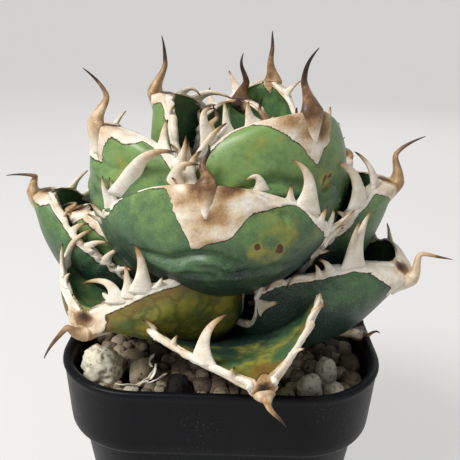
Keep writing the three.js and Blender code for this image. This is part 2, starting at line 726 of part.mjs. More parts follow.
const driedLeafHere = { ...DRIED_LEAF, reach: DRIED_LEAF.reach * BED_SHARE };
let driedLeaf = leafSolid(driedLeafHere, 0).subtract(stemCutter);
for (const cutter of leafCutters) {
  driedLeaf = driedLeaf.subtract(cutter);
}
addNode("dried_leaf", mainBody(driedLeaf), driedMaterial);
addNode("dried_margin_strip", driedMarginSolid(), stripMaterial);

STONES.forEach((stone, index) => {
  addNode(stone.name, stoneSolid(stone, index), stoneMaterial(stone.colour));
});
addNode("potting_mix", mixBlock().subtract(stemCutter), mixMaterial);

export default plant;
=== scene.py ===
import json

import bpy
import numpy as np
from mathutils import Matrix, Vector


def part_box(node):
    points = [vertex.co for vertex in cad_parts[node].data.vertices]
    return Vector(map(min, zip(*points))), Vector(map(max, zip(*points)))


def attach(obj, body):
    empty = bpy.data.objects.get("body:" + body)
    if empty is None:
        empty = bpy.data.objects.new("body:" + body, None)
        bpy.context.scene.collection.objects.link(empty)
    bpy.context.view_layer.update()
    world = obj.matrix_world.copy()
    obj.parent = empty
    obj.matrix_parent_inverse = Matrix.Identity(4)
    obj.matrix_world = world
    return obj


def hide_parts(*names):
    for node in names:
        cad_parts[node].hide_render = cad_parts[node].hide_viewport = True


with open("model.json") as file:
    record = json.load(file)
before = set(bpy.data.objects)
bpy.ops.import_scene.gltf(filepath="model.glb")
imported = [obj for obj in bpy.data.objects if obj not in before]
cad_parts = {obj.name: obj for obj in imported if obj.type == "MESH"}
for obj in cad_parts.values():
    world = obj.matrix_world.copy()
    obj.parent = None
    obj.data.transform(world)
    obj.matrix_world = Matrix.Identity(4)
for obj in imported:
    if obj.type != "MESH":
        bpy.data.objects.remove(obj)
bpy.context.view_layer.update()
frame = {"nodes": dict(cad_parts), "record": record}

# ---- Camera ----
# One camera looks down on the front of the plant from about its own width away,
# tilted down and rolled a little, with an ordinary lens.
CAMERA_PLACE = Vector((0.0017, -0.2040, 0.2014))
CAMERA_TILT = np.radians(19.6)
CAMERA_ROLL = np.radians(1.66)
LENS = 46.96

ahead = Vector((0, np.cos(CAMERA_TILT), -np.sin(CAMERA_TILT)))
level_up = Vector((0, np.sin(CAMERA_TILT), np.cos(CAMERA_TILT)))
right = Vector((1, 0, 0)) * np.cos(CAMERA_ROLL) + level_up * np.sin(CAMERA_ROLL)
above = level_up * np.cos(CAMERA_ROLL) - Vector((1, 0, 0)) * np.sin(CAMERA_ROLL)
turn = Matrix((right, above, -ahead)).transposed().to_4x4()
camera = bpy.data.objects.new("camera", bpy.data.cameras.new("camera"))
camera.data.lens = LENS
camera.data.clip_start = 0.01
camera.matrix_world = Matrix.Translation(CAMERA_PLACE) @ turn
bpy.context.collection.objects.link(camera)
bpy.context.scene.camera = camera

# ---- Studio: floor, lamps and sky ----
# A round pale floor that sweeps up into a wall far away on all sides, so that no view has an edge.
# A large soft lamp stands high on the left, and a weaker one fills from the right.
FLOOR_RADIUS = 1.5
SWEEP = 0.8
FLOOR_RINGS = 40
FLOOR_SIDES = 96
WALL_RISE = 0.6
LAMP_AIM = Vector((0, 0, 0.12))
KEY_PLACE = Vector((-0.55, -0.42, 0.95))
KEY_SIZE = 0.36
KEY_POWER = 15.0
FILL_PLACE = Vector((0.85, -0.6, 0.5))
FILL_SIZE = 0.9
FILL_POWER = 0.6
BACK_PLACE = Vector((0.25, 0.9, 0.75))
BACK_SIZE = 0.9
BACK_POWER = 3.0
SKY = 0.20


def new_mesh(name, points, faces):
    """An object at the origin whose mesh has these points and faces, smoothly shaded."""
    mesh = bpy.data.meshes.new(name)
    mesh.from_pydata([tuple(p) for p in points.tolist()], [], faces)
    mesh.validate()
    mesh.shade_smooth()
    piece = bpy.data.objects.new(name, mesh)
    bpy.context.collection.objects.link(piece)
    return piece


def grid_quads(rows, columns, closed):
    """Quads between neighbouring rows and columns; a closed grid joins its last column to its first."""
    last_column = columns if closed else columns - 1
    row, column = np.meshgrid(np.arange(rows - 1), np.arange(last_column), indexing="ij")
    a = row * columns + column
    b = row * columns + (column + 1) % columns
    return np.stack([a, b, b + columns, a + columns], axis=-1).reshape(-1, 4)


def floor_sweep():
    """A surface of revolution: flat at height 0, then a quarter circle of radius SWEEP, then straight up."""
    share = np.linspace(0, 1, FLOOR_RINGS)
    flat = np.minimum(share / 0.5, 1) ** 1.5 * FLOOR_RADIUS
    bend = np.clip((share - 0.5) / 0.3, 0, 1) * np.pi / 2
    wall = np.clip((share - 0.8) / 0.2, 0, 1) * WALL_RISE
    radius = flat + SWEEP * np.sin(bend)
    height = SWEEP * (1 - np.cos(bend)) + wall
    angle = np.arange(FLOOR_SIDES) / FLOOR_SIDES * 2 * np.pi
    x = radius[:, None] * np.cos(angle)
    y = radius[:, None] * np.sin(angle)
    z = np.broadcast_to(height[:, None], x.shape)
    return np.stack([x, y, z], axis=-1).reshape(-1, 3)


floor = new_mesh("floor", floor_sweep(), grid_quads(FLOOR_RINGS, FLOOR_SIDES, True).tolist())
floor_material = bpy.data.materials.new("pale_floor")
floor_material.use_nodes = True
floor_shader = floor_material.node_tree.nodes["Principled BSDF"]
floor_shader.inputs["Base Color"].default_value = (0.30, 0.297, 0.292, 1)
floor_shader.inputs["Roughness"].default_value = 0.9
floor_shader.inputs["Emission Color"].default_value = (1.0, 0.99, 0.98, 1)
floor_shader.inputs["Emission Strength"].default_value = 0.48
floor.data.materials.append(floor_material)


def soft_lamp(name, place, size, power, colour):
    """A square area lamp that looks at the middle of the plant."""
    lamp = bpy.data.objects.new(name, bpy.data.lights.new(name, "AREA"))
    lamp.data.size = size
    lamp.data.energy = power
    lamp.data.color = colour
    lamp.location = place
    aim = LAMP_AIM - place
    lamp.rotation_mode = "QUATERNION"
    lamp.rotation_quaternion = aim.to_track_quat("-Z", "Y")
    bpy.context.collection.objects.link(lamp)


soft_lamp("key_lamp", KEY_PLACE, KEY_SIZE, KEY_POWER, (1.0, 0.98, 0.95))
soft_lamp("fill_lamp", FILL_PLACE, FILL_SIZE, FILL_POWER, (0.93, 0.96, 1.0))
soft_lamp("back_lamp", BACK_PLACE, BACK_SIZE, BACK_POWER, (1.0, 1.0, 1.0))
world = bpy.data.worlds.new("sky")
world.use_nodes = True
world.node_tree.nodes["Background"].inputs["Color"].default_value = (0.95, 0.97, 1.0, 1)
world.node_tree.nodes["Background"].inputs["Strength"].default_value = SKY
bpy.context.scene.world = world
bpy.context.scene.view_settings.view_transform = "Standard"

# ---- Pot ----
# A thin black nursery pot, moulded in one piece of polypropylene: square and tapered, with round
# corners, a deep rim band over a step, a rolled lip and drain holes. Its skin is satin with fine dust.
POT_STATIONS = [
    # height, half width, corner radius
    (0.0000, 0.0366, 0.0172),
    (0.0003, 0.0379, 0.0186),
    (0.0012, 0.0386, 0.0190),
    (0.0300, 0.04252, 0.02152),
    (0.0690, 0.04782, 0.0248),
    (0.0702, 0.0481, 0.0249),
    (0.0709, 0.0487, 0.0252),
    (0.0713, 0.0499, 0.0254),
    (0.0718, 0.0507, 0.0255),
    (0.0728, 0.05105, 0.0256),
    (0.0760, 0.0513, 0.0257),
    (0.0915, 0.0523, 0.0266),
    (0.0928, 0.0526, 0.0268),
    (0.0938, 0.0529, 0.0270),
    (0.0946, 0.0528, 0.0270),
    (0.0950, 0.0521, 0.0267),
    (0.0949, 0.0511, 0.0261),
    (0.0943, 0.0504, 0.0256),
    (0.0920, 0.0500, 0.0252),
    (0.0760, 0.0497, 0.0246),
    (0.0722, 0.0480, 0.0238),
    (0.0700, 0.0467, 0.0235),
    (0.0300, 0.0411, 0.0201),
    (0.0024, 0.0372, 0.0176),
    (0.0018, 0.0366, 0.0170),
]
POT_CORNER_STEPS = 14
POT_SIDE_STEPS = 8
DRAIN_RADIUS = 0.0045
DRAIN_PLACE = 0.0235


class Number:
    """A value that changes over a surface. Python sums on it add Math nodes."""

    def __init__(self, finish, socket):
        self.finish = finish
        self.socket = socket

    def __add__(self, other):
        return self.finish.maths("ADD", self, other)

    def __sub__(self, other):
        return self.finish.maths("SUBTRACT", self, other)

    def __mul__(self, other):
        return self.finish.maths("MULTIPLY", self, other)

    def __rsub__(self, other):
        return self.finish.maths("SUBTRACT", other, self)

    __radd__ = __add__
    __rmul__ = __mul__


class Finish:
    """A material and its nodes. Colours are (red, green, blue)."""

    def __init__(self, name, roughness=0.5, specular=0.5):
        self.material = bpy.data.materials.new(name)
        self.material.use_nodes = True
        self.tree = self.material.node_tree
        self.shader = self.tree.nodes["Principled BSDF"]
        self.shader.inputs["Roughness"].default_value = roughness
        self.shader.inputs["Specular IOR Level"].default_value = specular
        self.place = self.node("ShaderNodeTexCoord", {}, {}, "Object").socket

    def node(self, kind, settings, sockets, output=0):
        """Adds a node, sets its settings, then fills its sockets with values or links."""
        node = self.tree.nodes.new(kind)
        for name, value in settings.items():
            if name == "stops":
                for k, (position, colour) in enumerate(value):
                    ramp = node.color_ramp.elements
                    stop = ramp[k] if k < 2 else ramp.new(position)
                    stop.position = position
                    stop.color = (*colour, 1)
            else:
                setattr(node, name, value)
        for name, value in sockets.items():
            self.fill(node.inputs[name], value)
        return Number(self, node.outputs[output])

    def fill(self, socket, value):
        """Links a Number or a socket, or writes a plain value."""
        if isinstance(value, Number):
            value = value.socket
        if isinstance(value, bpy.types.NodeSocket):
            self.tree.links.new(value, socket)
        elif isinstance(value, tuple) and len(value) == 3 and socket.type == "RGBA":
            socket.default_value = (*value, 1)
        else:
            socket.default_value = value

    def maths(self, operation, first, second):
        return self.node("ShaderNodeMath", {"operation": operation}, {0: first, 1: second})

    def smooth(self, value, low, high):
        """0 below low, 1 above high, and a smooth step between them."""
        settings = {"interpolation_type": "SMOOTHSTEP"}
        sockets = {"Value": value, "From Min": low, "From Max": high}
        return self.node("ShaderNodeMapRange", settings, sockets)

    def grain(self, size, detail=2.0, roughness=0.55, coordinates=None):
        """Cloudy noise from 0 to 1 with features of about this size."""
        coordinates = self.place if coordinates is None else coordinates
        sockets = {"Vector": coordinates, "Scale": 1 / size, "Detail": detail, "Roughness": roughness}
        return self.node("ShaderNodeTexNoise", {}, sockets)

    def mix(self, share, first, second):
        """A colour between two colours."""
        settings = {"data_type": "RGBA"}
        sockets = {0: share, 6: first, 7: second}
        return self.node("ShaderNodeMix", settings, sockets, 2)

    def read(self, name):
        """A number stored on the mesh."""
        return self.node("ShaderNodeAttribute", {"attribute_name": name}, {}, "Fac")

    def colour(self, value):
        self.fill(self.shader.inputs["Base Color"], value)

    def rough(self, value):
        self.fill(self.shader.inputs["Roughness"], value)

    def bump(self, height, distance, strength=1.0):
        sockets = {"Height": height, "Distance": distance, "Strength": strength}
        normal = self.node("ShaderNodeBump", {}, sockets, "Normal")
        self.fill(self.shader.inputs["Normal"], normal)


def rounded_square(half, radius):
    """A square ring with round corners: each corner is a quarter circle, and each side is split evenly."""
    quarter = np.linspace(0, np.pi / 2, POT_CORNER_STEPS + 1)
    share = (np.arange(1, POT_SIDE_STEPS) / POT_SIDE_STEPS)[:, None]
    rings = []

    def corner_centre(corner):
        angle = corner * np.pi / 2 + np.pi / 4
        return (half - radius) * np.sqrt(2) * np.array([np.cos(angle), np.sin(angle)])

    for corner in range(4):
        angle = quarter + corner * np.pi / 2
        arc = corner_centre(corner) + radius * np.stack([np.cos(angle), np.sin(angle)], axis=-1)
        following = corner_centre(corner + 1) + radius * np.array([np.cos(angle[-1]), np.sin(angle[-1])])
        rings.append(arc)
        rings.append(arc[-1] * (1 - share) + following * share)
    return np.concatenate(rings)


def pot_surface():
    """Rounded squares stacked from the foot up the outside, over the lip and down the inside to the floor."""
    rings = []
    for height, half, radius in POT_STATIONS:
        ring = rounded_square(half, radius)
        rings.append(np.column_stack([ring, np.full(len(ring), height)]))
    return np.array(rings)


def close_rings(rings):
    """A stack of closed rings as one closed skin: quads between rings and a fan over each end.
    The faces are turned round if the volume that they enclose comes out negative."""
    rows, count = rings.shape[:2]
    points = np.concatenate([rings.reshape(-1, 3), [rings[0].mean(axis=0), rings[-1].mean(axis=0)]])
    quads = grid_quads(rows, count, True)
    here = np.arange(count)
    after = (here + 1) % count
    start = np.stack([np.full(count, rows * count), after, here], axis=-1)
    last = (rows - 1) * count
    end = np.stack([np.full(count, rows * count + 1), last + here, last + after], axis=-1)
    triangles = np.concatenate([quads[:, [0, 1, 2]], quads[:, [0, 2, 3]], start, end])
    a, b, c = (points[triangles[:, k]] for k in range(3))
    if np.einsum("ij,ij->i", a, np.cross(b, c)).sum() < 0:
        quads, start, end = quads[:, ::-1], start[:, ::-1], end[:, ::-1]
    return points, quads.tolist() + start.tolist() + end.tolist()


pot = new_mesh("nursery_pot", *close_rings(pot_surface()))
for sign_x, sign_y in ((1, 1), (-1, 1), (-1, -1), (1, -1)):
    bpy.ops.mesh.primitive_cylinder_add(
        vertices=32,
        radius=DRAIN_RADIUS,
        depth=0.01,
        location=(sign_x * DRAIN_PLACE, sign_y * DRAIN_PLACE, 0),
    )
    drill = bpy.context.object
    cut = pot.modifiers.new("drain", "BOOLEAN")
    cut.object = drill
    cut.operation = "DIFFERENCE"
    bpy.context.view_layer.objects.active = pot
    bpy.ops.object.modifier_apply(modifier=cut.name)
    bpy.data.objects.remove(drill)

black = Finish("black_plastic", specular=0.10)
mottle = black.grain(0.012, 3)
dust = black.smooth(black.grain(0.0009, 2), 0.60, 0.72) * black.smooth(black.grain(0.018, 2), 0.45, 0.65)
plastic = black.mix(mottle, (0.003, 0.0034, 0.0044), (0.006, 0.0065, 0.008))
black.colour(black.mix(dust * 0.16, plastic, (0.20, 0.19, 0.18)))
black.rough(0.33 + mottle * 0.14 + dust * 0.2)
black.bump(black.grain(0.0006, 3) * 0.5 + black.grain(0.006, 2) * 0.9, 0.00012, 0.6)
pot.data.materials.append(black.material)
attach(pot, "root")
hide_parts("pot")

# ---- Potting mix ----
# Damp pumice and bark, dark brown and painted darker still: painted shade between the stones of the top
# dressing.
# It was poured in round the roots, fills the pot up to below the lip, and holds the plant.
mix = frame["nodes"]["potting_mix"]
damp_and_painted_shade = Finish("damp_mix_and_painted_shade", roughness=0.95, specular=0.2)
crumbs = damp_and_painted_shade.grain(0.0022, 4)
# Its colour is its own damp brown, darkened as painted shade between the stones.
damp_and_painted_shade.colour(damp_and_painted_shade.mix(damp_and_painted_shade.smooth(crumbs, 0.35, 0.7), (0.012, 0.009, 0.007), (0.075, 0.058, 0.043)))
damp_and_painted_shade.bump(crumbs, 0.0012)
mix.data.materials.clear()
mix.data.materials.append(damp_and_painted_shade.material)

# ---- Stem with roots ----
# The short woody stem that carries the leaves, and the main roots below it.
# It grew as one piece, and its roots hold it in the mix.
stem = frame["nodes"]["stem_with_roots"]
bark = Finish("stem_bark", roughness=0.85, specular=0.3)
fibres = bark.grain(0.0016, 4)
bark.colour(bark.mix(fibres, (0.20, 0.15, 0.09), (0.45, 0.38, 0.26)))
bark.bump(fibres, 0.0005)
stem.data.materials.clear()
stem.data.materials.append(bark.material)

# ---- Leaves ----
# Thick cupped leaves, waxy and green. Each grew in one piece with a corky margin that stands up in
# hooked teeth, a corky cap at its tip, and a hard terminal spine that bleaches from brown to bone.
# Lengths are in metres and angles in degrees; the list repeats the CAD source's.
# facing: the way a leaf points in plan, from +X towards +Y. seat: its height on the stem above the mix.
# reach, rise, sway: its tip's distance out, height above the mix, and offset to one side.
# leaving, arriving: the midrib's slope at the stem and at the tip. bulge, hook: how far it bows out.
# half_width, cup, roll: half its flat width, the half angle it curls through, its turn about the midrib.
# widest, neck, shoulder, blunt: its outline. spine: length, lift and turn of the terminal spine.
LEAF_SIZES = ("facing", "seat", "reach", "rise", "leaving", "arriving", "half_width", "cup")
PLAIN_LEAF = dict(
    sway=0, bulge=0.42, hook=0.42, roll=0, widest=0.55, neck=0.3, shoulder=2.6, blunt=2.2, thickness=0.0046,
)


def leaf_shape(*sizes, **others):
    """One leaf's shape: its sizes in the order of LEAF_SIZES, then its spine and all that isn't plain."""
    return {**PLAIN_LEAF, **dict(zip(LEAF_SIZES, sizes)), **others}


LEAVES = [
    leaf_shape(-79, 0.011, 0.064, 0.023, 6, -8, 0.03, 48, spine=(0.013, -35, 28),
               roll=10, widest=0.6, neck=0.4, shoulder=1.3, blunt=1.15, thickness=0.0032),
    leaf_shape(62, 0.013, 0.061, 0.027, 2, 15, 0.032, 60, spine=(0.016, 0, 0)),
    leaf_shape(146, 0.013, 0.06, 0.029, 2, 20, 0.031, 62, spine=(0.016, 5, 0)),
    leaf_shape(-122, 0.014, 0.056, 0.031, -8, 18, 0.035, 92, spine=(0.02, -45, -40), sway=-0.015, roll=5),
    leaf_shape(-30, 0.015, 0.06, 0.041, -16, 55, 0.039, 74, spine=(0.019, 12, 25),
               sway=0.016, roll=-6, bulge=0.55),
    leaf_shape(-165, 0.016, 0.048, 0.027, 2, 25, 0.023, 70, spine=(0.006, 20, 0), roll=-6),
    leaf_shape(104, 0.018, 0.059, 0.052, -2, 60, 0.031, 66, spine=(0.017, 30, 0)),
    leaf_shape(26, 0.018, 0.06, 0.047, -2, 55, 0.028, 70, spine=(0.01, 60, 0)),
    leaf_shape(184, 0.021, 0.062, 0.061, 0, 88, 0.026, 75, spine=(0.016, 20, 0), bulge=0.5, hook=0.5),
    leaf_shape(-2, 0.024, 0.054, 0.068, 0, 82, 0.027, 72, spine=(0.022, 50, 0),
               bulge=0.48, hook=0.4, shoulder=3, blunt=2.6),
    leaf_shape(68, 0.025, 0.05, 0.067, 0, 85, 0.032, 68, spine=(0.018, 60, 0)),
    leaf_shape(-167, 0.026, 0.05, 0.057, 0, 75, 0.018, 65, spine=(0.007, 10, 0)),
    leaf_shape(152, 0.028, 0.051, 0.07, 0, 90, 0.029, 70, spine=(0.01, 75, 0)),
    leaf_shape(-96, 0.032, 0.043, 0.075, 10, 108, 0.0385, 50, spine=(0.013, 85, 0),
               bulge=0.52, hook=0.5, shoulder=3.1, blunt=2.6),
    leaf_shape(20, 0.033, 0.043, 0.072, 0, 90, 0.025, 72, spine=(0.008, 70, 0)),
    leaf_shape(-150, 0.034, 0.041, 0.087, 0, 100, 0.038, 66, spine=(0.021, 65, 0),
               bulge=0.6, hook=0.5, shoulder=3.4, blunt=2.8),
    leaf_shape(108, 0.036, 0.039, 0.079, 0, 92, 0.028, 70, spine=(0.012, 80, 0)),
    leaf_shape(-51, 0.037, 0.034, 0.093, 0, 108, 0.039, 66, spine=(0.022, 74, 0),
               bulge=0.58, hook=0.5, shoulder=3.4, blunt=2.8),
    leaf_shape(60, 0.04, 0.029, 0.097, 5, 88, 0.026, 65, spine=(0.02, 85, 0), shoulder=2, blunt=1.6),
    leaf_shape(166, 0.043, 0.022, 0.094, 15, 95, 0.024, 72, spine=(0.021, 85, 0),
               shoulder=3, thickness=0.0036),
    leaf_shape(78, 0.045, 0.019, 0.091, 30, 90, 0.017, 65, spine=(0.018, 85, 0), thickness=0.0034),
    leaf_shape(-20, 0.046, 0.011, 0.086, 50, 95, 0.012, 65, spine=(0.01, 85, 0), thickness=0.003),
    leaf_shape(-130, 0.047, 0.007, 0.084, 65, 95, 0.009, 60, spine=(0.009, 85, 0), thickness=0.003),
]
# The stem narrows from STEM_RADIUS to STEM_TIP_RADIUS over the upper half of STEM_HEIGHT.
STEM_RADIUS = 0.009
STEM_TIP_RADIUS = 0.004
STEM_HEIGHT = 0.052
FOOT_DEPTH = 0.002
LEAF_EDGE = 0.0007
OUTER_SHARE = 0.7
THINNING_WIDTH = 0.008
CUP_AT_FOOT = 0.55
CUP_LOST_AT_TIP = 0.3
SPINE_RADIUS = 0.0032
MIX_TOP = 0.082
